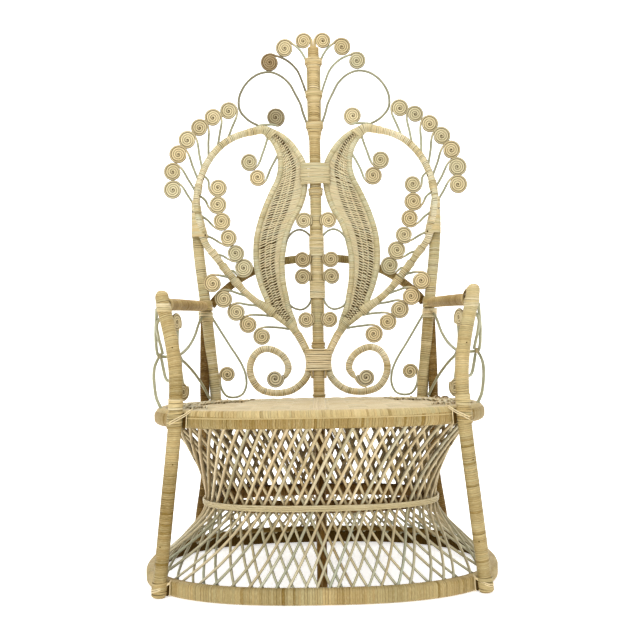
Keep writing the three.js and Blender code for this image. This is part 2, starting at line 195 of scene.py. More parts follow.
def cane(pc, p, r, sides=8, ref=Y, tone=0.5, hue=0.5, groove=0.0, closed=False, flat=1.0, cap=True, wobble=0.0, edge=0.0, inside=0.0, sharp=5.0):
    """A round or flat strand swept along p. r is the half width, flat the thickness ratio along ref.
    edge paints shade on its two sides, where it lies against the next strand and turns from the light; inside darkens
    the side away from ref, partly as painted shade and partly for its darker unlacquered face."""
    n = len(p)
    t = tangents(p, closed)
    ref = np.broadcast_to(np.asarray(ref, float), (n, 3))
    nn = unit(ref - (ref * t).sum(1, keepdims=True) * t)
    bb = np.cross(t, nn)
    c, s = around(sides)
    r = np.broadcast_to(np.asarray(r, float), (n,)).copy()
    along = arc(p)
    if wobble:
        ph = rng.uniform(0, 6.28, 3)
        r *= 1 + wobble * (0.6 * np.sin(along / 17 + ph[0]) + 0.4 * np.sin(along / 7.3 + ph[1]))
    v = (
        p[:, None]
        + (c[None] * r[:, None] * flat)[..., None] * nn[:, None]
        + (s[None] * r[:, None])[..., None] * bb[:, None]
    )
    o = rng.uniform(-50, 50, 3)
    fib = np.stack(
        [
            np.broadcast_to(along[:, None] / 26 + o[0], v.shape[:2]),
            np.broadcast_to(c * 2.6 + o[1], v.shape[:2]),
            np.broadcast_to(s * 2.6 + o[2], v.shape[:2]),
        ],
        -1,
    )
    tone, hue, groove, edge, sharp = [np.broadcast_to(np.asarray(x, float), (n,))[:, None] for x in (tone, hue, groove, edge, sharp)]
    dark = groove + edge * np.abs(s)[None] ** sharp + inside * np.clip(-c, 0, 1)[None]
    pc.grid(v, tone, hue, dark, fib, closed, cap)


WRAP_UP = np.array([-1.0, 0.45, 0.62, 0.45])
# painted shade across a wrap: darkest in the hollow at its edges
WRAP_SHADE = np.array([1.0, 0.12, 0.0, 0.12])


def wrap_rows(length, pitch, tone, spread, hue, hspread, ridge, depth=1.0, strong=0.32):
    """Rings of a wrapped pole: positions, radius offsets, painted shade in the hollows between wraps, tone and hue."""
    w = max(2, int(round(length / pitch)))
    wide = np.clip(1 + 0.17 * rng.standard_normal(w), 0.62, 1.5)
    edge = np.concatenate([[0], np.cumsum(wide)]) * length / wide.sum()
    lip = rng.uniform(0.13, 0.27, w)
    at = np.stack([0 * lip, lip, 0 * lip + 0.5, 1 - lip], 1)
    s = (edge[:-1, None] + np.diff(edge)[:, None] * at).ravel()
    up = (WRAP_UP * ridge + (0.10 * ridge * rng.standard_normal(w))[:, None]).ravel()
    slow = np.interp(np.arange(w), np.linspace(0, w, 2 + w // 9), rng.standard_normal(2 + w // 9))
    tn = (tone(edge[:-1]) if callable(tone) else tone) + spread * (0.6 * rng.standard_normal(w) + 0.8 * slow)
    tn -= 0.22 * (rng.random(w) < 0.03)
    hs = np.interp(np.arange(w), np.linspace(0, w, 2 + w // 14), rng.standard_normal(2 + w // 14))
    hu = (hue(edge[:-1]) if callable(hue) else hue) + hspread * (0.6 * rng.standard_normal(w) + 0.7 * hs)
    # painted shade in the hollow between wraps, deeper at some of them
    deep = depth * np.where(rng.random(w) < strong, rng.uniform(1.1, 1.7, w), rng.uniform(0.35, 0.9, w))
    dark = (WRAP_SHADE * deep[:, None]).ravel()
    return s, up, dark, np.repeat(tn, 4), np.repeat(hu, 4)


def wrapped(pc, control, r, pitch=5.0, ridge=0.55, sides=18, ref=Y, tone=0.5, spread=0.07, hue=0.5, hspread=0.07, tilt=0.22, flat=1.0, depth=1.0, strong=0.32):
    """A pole wound with split cane: real ridges, one ring row per wrap. r: number or function of length."""
    d = curve(control, 2.0)
    q = arc(d)
    length = q[-1]
    t = tangents(d)
    ref = np.asarray(ref, float)
    nn = unit(ref - (t @ ref)[:, None] * t)
    s, up, dark, tn, hu = wrap_rows(length, pitch, tone, spread, hue, hspread, ridge, depth, strong)
    s = np.append(s, length)
    up, dark, tn, hu = [np.append(x, x[-1]) for x in (up, dark, tn, hu)]
    c, sn = around(sides)
    ang = 2 * math.pi * np.arange(sides) / sides
    lean = rng.uniform(0, 6.28)
    fade = np.clip(np.minimum(s, length - s) / pitch, 0, 1)
    at = np.clip(s[:, None] + tilt * pitch * fade[:, None] * np.cos(ang[None] - lean), 0, length)

    def pick(a):
        return np.stack([np.interp(at.ravel(), q, a[:, k]) for k in range(3)], 1).reshape(len(s), sides, 3)

    ce, tt, n2 = pick(d), unit(pick(t)), pick(nn)
    n2 = unit(n2 - (n2 * tt).sum(-1, keepdims=True) * tt)
    b2 = np.cross(tt, n2)
    rad = (r(s) if callable(r) else np.full(len(s), float(r))) + up
    thin = (flat(s) if callable(flat) else np.full(len(s), float(flat)))[:, None, None]
    v = ce + rad[:, None, None] * (thin * c[None, :, None] * n2 + sn[None, :, None] * b2)
    o = rng.uniform(-50, 50, 3)
    fib = np.stack(
        [
            np.broadcast_to(c[None] * 1.6 + o[0], at.shape),
            np.broadcast_to(sn[None] * 1.6 + o[1], at.shape),
            at / 0.95 + o[2],
        ],
        -1,
    )
    pc.grid(v, tn[:, None], hu[:, None], dark[:, None], fib)


def rounded(hw, hh, corner, count):
    """Points and normals of a rounded rectangle, ordered for an outward sweep of a hoop."""
    t = np.linspace(0, 2 * math.pi, 721)
    pts = []
    for cx, cy, a0 in ((1, 1, 0), (-1, 1, 90), (-1, -1, 180), (1, -1, 270)):
        a = np.radians(a0 + np.linspace(0, 90, 9))
        pts.append(np.stack([cx * (hw - corner) + corner * np.cos(a), cy * (hh - corner) + corner * np.sin(a), 0 * a], 1))
    p = np.concatenate(pts)
    p = np.vstack([p, p[:1]])
    q = arc(p)
    w = np.linspace(0, q[-1], count, endpoint=False)
    p = np.stack([np.interp(w, q, p[:, k]) for k in range(2)], 1)[::-1]
    tg = np.roll(p, -1, 0) - np.roll(p, 1, 0)
    nr = unit(np.stack([-tg[:, 1], tg[:, 0]], 1))
    return p, nr


def hoop(pc, a, b, yc, z0, z1, thick, corner, pitch=5.5, ridge=0.6, power=2.5, count=20, tone=0.5, spread=0.08, hue=0.5, hspread=0.08, inner=0.0, lean=0.0, depth=0.7):
    """A closed oval hoop wound with strips. inner paints shade on the side that looks inwards."""
    line = oval(a - thick / 2, b - thick / 2, power, 1600, yc, (z0 + z1) / 2)
    q = arc(line, True)
    length = q[-1]
    s, up, dark, tn, hu = wrap_rows(length, pitch, tone, spread, hue, hspread, ridge, depth)
    big = np.vstack([line, line[:1]])
    prof, nr = rounded(thick / 2, (z1 - z0) / 2, corner, count)
    at = (s[:, None] + lean * prof[None, :, 1]) % length
    ce = np.stack([np.interp(at.ravel(), q, big[:, k]) for k in range(3)], 1).reshape(*at.shape, 3)
    tg = tangents(line, True)
    tg = np.vstack([tg, tg[:1]])
    tt = unit(np.stack([np.interp(at.ravel(), q, tg[:, k]) for k in range(3)], 1)).reshape(*at.shape, 3)
    out = np.cross(tt, Z)
    pu = prof[None, :, 0] + up[:, None] * nr[None, :, 0]
    pv = prof[None, :, 1] + up[:, None] * nr[None, :, 1]
    v = ce + pu[..., None] * out + pv[..., None] * Z
    o = rng.uniform(-50, 50, 3)
    fib = np.stack(
        [
            np.broadcast_to(prof[None, :, 0] / 9 + o[0], at.shape),
            np.broadcast_to(prof[None, :, 1] / 9 + o[1], at.shape),
            s[:, None] / 0.95 + 0 * at + o[2],
        ],
        -1,
    )
    # painted shade on the side that faces inwards
    shade = np.where(prof[:, 0] < -0.2 * thick, inner, 0.0)
    pc.grid(v, tn[:, None] - 0.6 * shade[None], hu[:, None], np.clip(dark[:, None] + shade[None], 0, 1.6), fib, closed=True)


def loops(pc, c0, c1, u, w, a, b, n, wide=4.8, thick=2.8, power=2.5, tone=0.55, hue=0.5, spread=0.08, count=36, tilt=0.6, edge=0.9):
    """A stack of closed flat-cane turns round an oval a x b in the plane (u, w), from c0 to c1."""
    c0, c1, u, w = [np.asarray(x, float) for x in (c0, c1, u, w)]
    ax = unit(np.cross(u, w))
    t = 2 * math.pi * np.arange(count) / count
    ct, st = np.cos(t), np.sin(t)
    cp, sp = np.sign(ct) * np.abs(ct) ** (2 / power), np.sign(st) * np.abs(st) ** (2 / power)
    for k in range(n):
        f = (k + 0.5) / n
        ak = np.interp(f, np.linspace(0, 1, len(a)), a) if np.ndim(a) else a
        bk = np.interp(f, np.linspace(0, 1, len(b)), b) if np.ndim(b) else b
        j = 0.25 * rng.standard_normal(2)
        ph = rng.uniform(0, 6.28)
        p = c0 + (c1 - c0) * f + ((ak + j[0]) * cp)[:, None] * u + ((bk + j[1]) * sp)[:, None] * w
        p = p + (tilt * np.cos(t - ph))[:, None] * ax
        ref = (bk * ct)[:, None] * u + (ak * st)[:, None] * w
        cane(
            pc,
            p,
            wide / 2,
            8,
            ref,
            tone + spread * rng.standard_normal(),
            hue + 0.08 * rng.standard_normal(),
            0.0,
            True,
            thick / wide,
            edge=edge,
        )


def strap(pc, pts, wide=3.4, thick=1.2, ref=Y, tone=0.7, hue=0.5):
    p = curve(pts, 2.0)
    cane(pc, p, wide / 2, 8, ref, tone, hue, 0.0, False, thick / wide)


def coil_path(cx, cz, y, r, start, heading, strand=2.5, turns=None, plane="xz"):
    """Flat spiral that ends at the rim angle of start and runs on towards heading (2-D points)."""
    a1 = math.atan2(start[1] - cz, start[0] - cx)
    tang = np.array([-math.sin(a1), math.cos(a1)])
    way = np.array([heading[0] - start[0], heading[1] - start[1]])
    sign = 1 if tang @ way >= 0 else -1
    r1, r0 = r - strand, strand * 0.25
    pitch = strand * 2 * 0.98
    turns = (r1 - r0) / pitch
    n = int(26 * turns)
    f = np.linspace(0, 1, n)
    ang = a1 - sign * (1 - f) * turns * 2 * math.pi
    rr = r0 + (r1 - r0) * f
    return np.stack([cx + rr * np.cos(ang), np.full(n, y), cz + rr * np.sin(ang)], 1)


def wound(pc, p, r, ref, tone, hue, k=0.0, centre=None):
    """Strand of a coil, with painted shade in dark lines between its turns, along its outer turn and in a dark heart. k
    is 0 on the coil and 1 on the stem.
    """
    k = np.broadcast_to(np.asarray(k, float), (len(p),))
    # painted shade: dark at the heart and along the outer turn
    first = np.clip(1 - np.arange(len(p)) / 24.0, 0, 1) * 0.9
    turns = int((k < 0.02).sum())
    rim = np.clip((np.arange(len(p)) - turns + 28) / 6.0, 0, 1)
    cane(pc, p, r, 10, ref, tone, hue, first + 0.26 * rim * (1 - k), wobble=0.012, edge=(1.5 - 0.3 * rim) * (1 - k) + 0.35 * k, sharp=4.6 - 2.8 * rim * (1 - k))
    # dark plug in the coil's heart: painted shade in its hollow centre
    c, ax = (p[0] if centre is None else centre), np.asarray(ref, float)
    q = 1.15 * float(np.max(r))
    cane(pc, np.array([c - 0.5 * ax, c + 0.5 * ax, c + 1.2 * ax]), [0.7 * q, q, 0.8 * q], 8, Z, 0.05, 0.6, 1.5)


def curl(pc, s, centre, stem, r=28.6, strand=3.1, tone=None, hue=None, off=0.0, stem_r=3.55, stem_tone=0.36):
    """A coil with its stem: stem lists [x, z(, off)] from the coil's rim to the pole. Right-hand numbers, s = side."""
    cx, cz = centre[0], centre[1]
    co = centre[2] if len(centre) > 2 else off
    cx, cz = cx + 0.7 * rng.standard_normal(), cz + 0.7 * rng.standard_normal()
    r = r + 0.6 * rng.standard_normal()
    y = back_y(cx, cz) - co
    tone = (0.83 if tone is None else tone) + 0.09 * np.clip(rng.standard_normal(), -1.6, 1.6)
    hue = (0.38 if hue is None else hue) + 0.06 * np.clip(rng.standard_normal(), -1.5, 1.5)
    spiral = coil_path(cx, cz, y, r, stem[0], stem[1], strand)
    tail = on_back(stem, 1)
    tail[0, 1] = y
    end = spiral[-1]
    rest = curve(np.vstack([spiral[-6], end, tail[1:]]), 2.5)
    cut = int(np.argmin(np.linalg.norm(rest - end, axis=1)))
    p = np.vstack([spiral[:-1], rest[cut:]])
    ns = len(spiral) - 1
    k = np.clip((np.arange(len(p)) - ns) / 8.0, 0, 1)
    rad = 1.02 * strand * (1 - k) + stem_r * k
    # the coil leans a little, as hand-wound coils do
    lean = rng.uniform(-0.045, 0.045, 2)
    fade = 1 - np.clip((np.arange(len(p)) - ns) / 12.0, 0, 1)
    p[:, 1] += fade * (lean[0] * (p[:, 0] - cx) + lean[1] * (p[:, 2] - cz))
    p[:, 0] *= s
    tn = tone * (1 - k) + (stem_tone + 0.06 * np.clip(rng.standard_normal(), -1.3, 1.3)) * k
    hu = hue * (1 - k) + (-0.06 + 0.035 * np.clip(rng.standard_normal(), -1.3, 1.3)) * k
    wound(pc, p, rad, Y, tn, hu, k, np.array([s * cx, y, cz]))


def straight(centre, end, r=22.0):
    """Stem that leaves the coil along the tangent on the side of the spine and runs straight to the bow."""
    c, e = np.array(centre[:2], float), np.array(end[:2], float)
    d = np.linalg.norm(e - c)
    a = math.atan2(e[1] - c[1], e[0] - c[0])
    h = math.acos(min(1.0, r / d))
    t = min((c + r * np.array([math.cos(a + k * h), math.sin(a + k * h)]) for k in (1, -1)), key=lambda q: q[0])
    m = t * 0.5 + e * 0.5 + [-1.5, 0]
    o = end[2] if len(end) > 2 else 0.0
    return [[*t, 0.0], [*m, 0.5 * o], [*e, o]]


def stem(pc, s, pts, r=3.5, tone=0.36, hue=-0.05, off=0.0):
    p = curve(on_back(pts, s, off), 3.0)
    cane(pc, p, r, 8, Y, tone + 0.06 * rng.standard_normal(), hue, wobble=0.04, edge=0.35, sharp=3)


def bare(pc, control, r, ref=Y, tone=0.4, hue=0.5, sides=14, step=4.0):
    """An unwrapped rattan pole with growth nodes."""
    p = curve(control, step)
    s = arc(p)
    rad = np.full(len(p), float(r))
    dark = np.zeros(len(p))
    k = rng.uniform(40, 120)
    while k < s[-1]:
        g = np.exp(-(((s - k) / 5.0) ** 2))
        rad += 0.07 * r * g
        dark += 0.8 * np.exp(-(((s - k - 3) / 3.0) ** 2))
        k += rng.uniform(140, 230)
    cane(pc, p, rad, sides, ref, tone, hue, np.clip(dark, 0, 1), wobble=0.02)


# ---------------------------------------------------------------- materials
def lin(r, g, b):
    out = []
    for c in (r, g, b):
        c /= 255
        out.append(c / 12.92 if c <= 0.04045 else ((c + 0.055) / 1.055) ** 2.4)
    return (*out, 1.0)


def rattan(name, dark, mid, light, rough=(0.42, 0.62), shade_and_dark_mark_colour=(60, 40, 10), streak=0.34, bump=0.35, spec=0.35):
    """Rattan skin: strand tone and hue from the mesh, fibre streaks along the strand, painted shade in the hollows
    between strands together with real dark marks, from one mesh attribute.
    """
    m = bpy.data.materials.new(name)
    m.use_nodes = True
    nt = m.node_tree
    nt.nodes.clear()
    new, link = nt.nodes.new, nt.links.new
    out = new("ShaderNodeOutputMaterial")
    bs = new("ShaderNodeBsdfPrincipled")
    link(bs.outputs[0], out.inputs[0])

    def attr(n):
        a = new("ShaderNodeAttribute")
        a.attribute_name = n
        return a

    def mix(kind, fac, a, b):
        x = new("ShaderNodeMix")
        x.data_type, x.blend_type = "RGBA", kind
        for sock, val in ((x.inputs[0], fac), (x.inputs[6], a), (x.inputs[7], b)):
            if hasattr(val, "is_output"):
                link(val, sock)
            else:
                sock.default_value = val
        return x.outputs[2]

    def spread(value, lo, hi, to_lo, to_hi):
        x = new("ShaderNodeMapRange")
        for k, v in zip((1, 2, 3, 4), (lo, hi, to_lo, to_hi)):
            x.inputs[k].default_value = v
        link(value, x.inputs[0])
        return x.outputs[0]

    ramp = new("ShaderNodeValToRGB")
    e = ramp.color_ramp.elements
    e[0].position, e[0].color = 0.0, lin(*dark)
    e[1].position, e[1].color = 1.0, lin(*light)
    k = e.new(0.5)
    k.color = lin(*mid)
    link(attr("tone").outputs["Fac"], ramp.inputs[0])

    tint = new("ShaderNodeValToRGB")
    e = tint.color_ramp.elements
    e[0].position, e[0].color = 0.0, (0.68, 0.85, 1.0, 1)
    e[1].position, e[1].color = 1.0, (1.0, 0.875, 0.77, 1)
    k = e.new(0.5)
    k.color = (0.98, 0.965, 0.925, 1)
    link(attr("hue").outputs["Fac"], tint.inputs[0])
    col = mix("MULTIPLY", 1.0, ramp.outputs[0], tint.outputs[0])

    fib = attr("fib")
    fine = new("ShaderNodeTexNoise")
    fine.inputs["Scale"].default_value = 1.0
    fine.inputs["Detail"].default_value = 4.0
    fine.inputs["Roughness"].default_value = 0.62
    link(fib.outputs["Vector"], fine.inputs["Vector"])
    col = mix("MULTIPLY", spread(fine.outputs[0], 0.42, 0.74, 0.0, streak), col, lin(150, 112, 66))
    pale = spread(fine.outputs[0], 0.46, 0.26, 0.0, 0.30)
    col = mix("MIX", pale, col, lin(240, 226, 186))

    place = new("ShaderNodeTexCoord")
    wide = new("ShaderNodeTexNoise")
    wide.inputs["Scale"].default_value = 14.0
    wide.inputs["Detail"].default_value = 3.0
    link(place.outputs["Object"], wide.inputs["Vector"])
    col = mix("MULTIPLY", spread(wide.outputs[0], 0.45, 0.75, 0.0, 0.45), col, (0.86, 0.80, 0.66, 1))

    # painted shade in hollows and on strand sides, mixed with real dark marks such as growth nodes and nail heads
    shade_and_dark_mark_node = attr("groove")
    col = mix("MIX", spread(shade_and_dark_mark_node.outputs["Fac"], 0.1, 1.3, 0.0, 0.92), col, lin(*shade_and_dark_mark_colour))
    link(col, bs.inputs["Base Color"])

    link(spread(fine.outputs[0], 0.3, 0.7, rough[0], rough[1]), bs.inputs["Roughness"])
    link(spread(shade_and_dark_mark_node.outputs["Fac"], 0.0, 0.9, spec, 0.02), bs.inputs["Specular IOR Level"])
    bp = new("ShaderNodeBump")
    bp.inputs["Strength"].default_value = bump
    bp.inputs["Distance"].default_value = 0.0005
    link(fine.outputs[0], bp.inputs["Height"])
    link(bp.outputs[0], bs.inputs["Normal"])
    return m


M_POLE = rattan("wrapped_pole", (138, 110, 44), (204, 183, 131), (242, 228, 192), spec=0.28)
M_DARK = rattan("dark_pole", (84, 54, 10), (130, 98, 42), (178, 148, 92), streak=0.5, spec=0.12)
M_PANEL = rattan("panel_weave", (150, 130, 86), (204, 190, 146), (232, 222, 186))
M_SEAT = rattan("seat_weave", (150, 128, 92), (196, 180, 144), (226, 214, 182))
M_CURL = rattan("curl_cane", (110, 85, 49), (204, 187, 144), (239, 219, 172), streak=0.28)
M_SKIRT = rattan("skirt_cane", (118, 94, 56), (200, 181, 138), (232, 218, 182))


# ---------------------------------------------------------------- frame poles
def done(name, pc, slot, mat):
    return pc.build(name, slot, mat)


SIDES = (("right", 1), ("left", -1))

# floor hoop
pc = Piece()
hoop(pc, 432.4, 311.4, 0, 0.6, 35.6, 27, 7.5, 5.6, 0.5, tone=0.28, spread=0.065, hue=0.44, inner=1.15, depth=0.6)
p = oval(385, 271, 2.5, 420, 0, 44.5)
p = np.array(sorted((q for q in p if q[1] > 30), key=lambda q: q[0]))
cane(pc, p, 7.2, 10, Z, 0.05, 0.5, 0.8, wobble=0.03)
done("base_hoop", pc, "wrapped_pole", M_POLE)

# seat rim: wound band and the roll above it, with a pale thin cane along the band's front top edge that paints the
# highlight line there
pc = Piece()
hoop(pc, 403.6, 289.4, -20, 378.8, 414.5, 27, 13.2, 5.4, 0.4, tone=0.18, spread=0.06, hue=0.44, inner=0.9, lean=0.05, depth=0.7)
# painted highlight: a pale thin cane along the band's front top edge
p = oval(402.6, 288.6, 2.5, 420, -20, 402.5)
p = np.array(sorted((q for q in p if q[1] < -20 and abs(q[0]) < 322), key=lambda q: q[0]))
cane(pc, p, 1.5, 8, Z, 0.46, 0.46, wobble=0.08)
done("seat_rim_band", pc, "wrapped_pole", M_POLE)
pc = Piece()
hoop(pc, 398.6, 289.7, -20, 397.0, 419.2, 27, 10.2, 6.0, 0.30, tone=0.40, spread=0.05, hue=0.42, inner=0.3, lean=-0.12, depth=0.45)
done("seat_rim_roll", pc, "wrapped_pole", M_POLE)

# waist: brown hoop inside, canes outside
pc = Piece()
hoop(pc, 267.6, 139.6, -4, 165.4, 195.6, 21, 7, 7.0, 0.35, power=2.5, count=18, tone=0.30, spread=0.10, hue=0.5, inner=0.0)
done("waist_hoop", pc, "dark_pole", M_DARK)
pc = Piece()
for k, z in enumerate((178.4, 183.0, 187.6)):
    p = oval(293.4, 167.0, 2.35, 360, -4, z)
    p[:, 2] += 0.5 * np.sin(np.arange(360) / 360 * 2 * math.pi * 3 + k)
    cane(pc, p, 2.5, 8, Z, 0.68 + 0.05 * k, 0.40, closed=True, wobble=0.03, edge=0.4)
done("waist_band", pc, "wrapped_pole", M_POLE)

# skirt canes: two crossing layers
SKIRT = np.array(
    [
        [28, 411, 296, 0],
        [36.8, 404, 290, 0],
        [62, 376, 268, 0],
        [117, 320, 205, -2],
        [155, 291, 166, -3],
        [183, 283, 154, -4],
        [226, 287, 163, -6],
        [290, 309, 195, -11],
        [384, 366.5, 250, -20],
    ]
)
LEVELS = 34
zs = np.linspace(29, 385, LEVELS)
fine = curve(SKIRT[:, [1, 2, 0]], 3.0)
ring_a, ring_b = np.interp(zs, fine[:, 2], fine[:, 0]), np.interp(zs, fine[:, 2], fine[:, 1])
ring_y = np.interp(zs, SKIRT[:, 0], SKIRT[:, 3])
WAIST_Z, CANES, SHIFT = 183.0, 58, 3.1


def skirt_layer(pc, off, lean, seed_tone):
    tables, quarter = [], []
    for a, b, yc, z in zip(ring_a, ring_b, ring_y, zs):
        p = oval(a + off, b + off, 2.3, 1200, yc, z)
        tables.append(p)
        quarter.append(arc(p, True)[-1] / 4)
    waist = np.interp(WAIST_Z, zs, quarter)
    g = np.where(zs > WAIST_Z, (zs - WAIST_Z) / (384 - WAIST_Z), -(WAIST_Z - zs) / (WAIST_Z - 33))

    def place(u, q, power):
        u = u % 4
        k = np.floor(u / 2) * 2
        v = u - k
        w = np.where(v > 1, 2 - v, v)
        d = waist * w + (q - waist) * w**power
        return (k * q + np.where(v > 1, 2 * q - d, d)) / (4 * q)

    for i in range(CANES):
        u0 = 4 * (i + 0.5 + 0.10 * rng.standard_normal()) / CANES
        sh = SHIFT * (1 + 0.03 * rng.standard_normal())
        pts = []
        for j in range(LEVELS):
            above = g[j] > 0
            f = place(np.array(u0 + lean * sh * (1.2 if above else 1.0) * 4 / CANES * g[j]), quarter[j], 3.5 if above else 2.1) * 1200
            k = int(f) % 1200
            pts.append(tables[j][k] + (f - int(f)) * (tables[j][(k + 1) % 1200] - tables[j][k]))
        p = curve(np.array(pts)[::-1], 9.0)
        ref = np.stack([p[:, 0], p[:, 1] * 1.6, np.zeros(len(p))], 1)
        s = arc(p)
        dark = np.zeros(len(p))
        rad = np.interp(p[:, 2], [60, 170, 230, 385], [3.25, 3.4, 3.9, 4.1]) + 0.12 * rng.standard_normal()
        rear = np.clip(p[:, 1] / 60, 0, 1) * np.clip((p[:, 2] - 185) / 30, 0, 1)
        rad = rad + 1.2 * rear
        k = rng.uniform(30, 300)
        rad = rad + 0.5 * np.exp(-(((s - k) / 5) ** 2))
        dark = dark + 0.6 * np.exp(-(((s - k) / 5) ** 2))
        tn = seed_tone - 0.14 * rear + 0.11 * rng.standard_normal() + 0.08 * np.sin(s / 60 + rng.uniform(0, 6))
        cane(pc, p, rad, 8, ref, tn, np.interp(p[:, 2], [40, 100, 160, 210, 385], [0.17, 0.27, 0.40, 0.50, 0.50]) + 0.12 * rng.standard_normal(), dark, inside=0.36, edge=0.75, sharp=3)


pc = Piece()
skirt_layer(pc, 3.5, 1, 0.76)
done("skirt_outer_canes", pc, "skirt_cane", M_SKIRT)
pc = Piece()
skirt_layer(pc, -3.5, -1, 0.70)
done("skirt_inner_canes", pc, "skirt_cane", M_SKIRT)

# woven seat: ribs front to back, strips left to right over and under them, knotted loops near the rim
pc = Piece()
SA, SB, SY = 376.0, 262.0, -20
RIB = 46.0
for x in np.arange(-8, 9) * RIB:
    half = SB * (1 - min(1, abs(x) / SA) ** 2.5) ** (1 / 2.5) - 2
    if half > 20:
        cane(pc, even(np.array([[x, SY - half, 412.4], [x, SY + half, 412.4]]), 20), 2.5, 6, X, 0.35, 0.45)
# painted shade: flat dark strips beneath the weave close its holes, so they read as shadow
for x in np.arange(-366, 367, 7.4):
    half = SB * (1 - min(1, abs(x) / SA) ** 2.5) ** (1 / 2.5) - 1
    if half > 20:
        cane(pc, even(np.array([[x, SY - half, 409.3], [x, SY + half, 409.3]]), 60), 4.0, 6, Z, 0.26 + 0.08 * rng.standard_normal(), 0.5, 0.3, False, 0.3)
rows = np.arange(-254.8, 255, 4.9)
for k, dy in enumerate(rows):
    half = SA * (1 - min(1, abs(dy) / SB) ** 2.5) ** (1 / 2.5) - 3
    if half < 30:
        continue
    n = int(half * 2 / 7.6)
    x = np.linspace(-half, half, n)
    zz = 413.8 + 5.0 * np.clip((dy - 90) / 160, 0, 1) ** 2 + 1.7 * np.cos(math.pi * x / RIB + math.pi * (k % 2))
    zz = zz - 2.6 * np.clip((np.abs(x) - half + 22) / 22, 0, 1)
    p = np.stack([x, np.full(n, SY + dy), zz], 1)
    cane(pc, p, 2.6, 6, Z, 0.54 + 0.10 * rng.standard_normal(), 0.48 + 0.10 * rng.standard_normal(), 0.0, False, 0.5, edge=0.35)
for inset, n in ((34, 112), (47, 106), (60, 100), (73, 95)):
    base = oval(SA - inset, SB - inset, 2.5, n, SY, 417.6)
    tg = tangents(base, True)
    out = np.cross(tg, Z)
    turn = 2 * math.pi * np.arange(12) / 12
    for c, a, o in zip(base, tg, out):
        if c[1] < SY - 110 or abs(c[0]) < 160 + 0.6 * inset:
            continue
        c = c + 1.4 * rng.standard_normal(3) * [1, 1, 0.4]
        up = unit(Z - 0.7 * o)
        ring = c + (7.0 * np.cos(turn))[:, None] * a + (4.6 * np.sin(turn))[:, None] * up + (1.8 * np.sin(turn + rng.uniform(0, 6)))[:, None] * o
        cane(pc, ring, 2.2, 6, o, 0.72 + 0.14 * rng.standard_normal(), 0.45 + 0.1 * rng.standard_normal(), closed=True, edge=0.3)
        cane(pc, np.array([c - 1.0 * o, c + 1.0 * o]) - [0, 0, 0.8], 2.1, 6, X, 0.05, 0.5, 1.2)
# strip bound over the middle of the seat and its rim, below the spine
for x in (-12.5, -6.2, 0.2, 6.4, 12.6):
    q = [(x, 238, 420.5), (x, 150, 418), (x, 100, 417.4), (x, -100, 417.4), (x, -250, 418), (x, -284, 420.2), (x, -298, 418.2), (x, -305.4, 410), (x, -306.4, 402)]
    cane(pc, curve(q, 5.0), 3.5, 8, -Y * 0.6 + Z, 0.48 + 0.05 * rng.standard_normal(), 0.50, 0.0, False, 0.30, edge=0.1)
# two cane ends that stand out of the weave behind the right arm post
for x, y, r in ((312, 84, 7.6), (329, 58, 8.2)):
    k = np.array([[x, y + 30, 419.5], [x, y + 3, 419.5], [x, y, 419.5], [x, y - 0.8, 419.5]])
    cane(pc, k, [r, r, r * 0.97, r * 0.8], 14, Z, 0.55, 0.9, [0, 0, 0.25, 0.1])
    cane(pc, k[3] + np.stack([1.02 * r * np.cos(np.arange(16) * math.pi / 8), 0 * np.arange(16), 1.02 * r * np.sin(np.arange(16) * math.pi / 8)], 1), 1.0, 6, Y, 0.1, 0.5, 1.2, True)
done("seat_weave", pc, "seat_weave", M_SEAT)

# hidden poles under the seat
for name, y, half in (("seat_bar_front", -150, 345), ("seat_bar_middle", -20, 373), ("seat_bar_rear", 110, 345)):
    pc = Piece()
    bare(pc, [(-half, y, 397.6), (half, y, 397.6)], 10.6, Z, 0.42)
    done(name, pc, "dark_pole", M_DARK)
pc = Piece()
bare(pc, [(0, -257, 16), (0, 78, 352)], 11.8, X, 0.40)
done("front_strut", pc, "dark_pole", M_DARK)

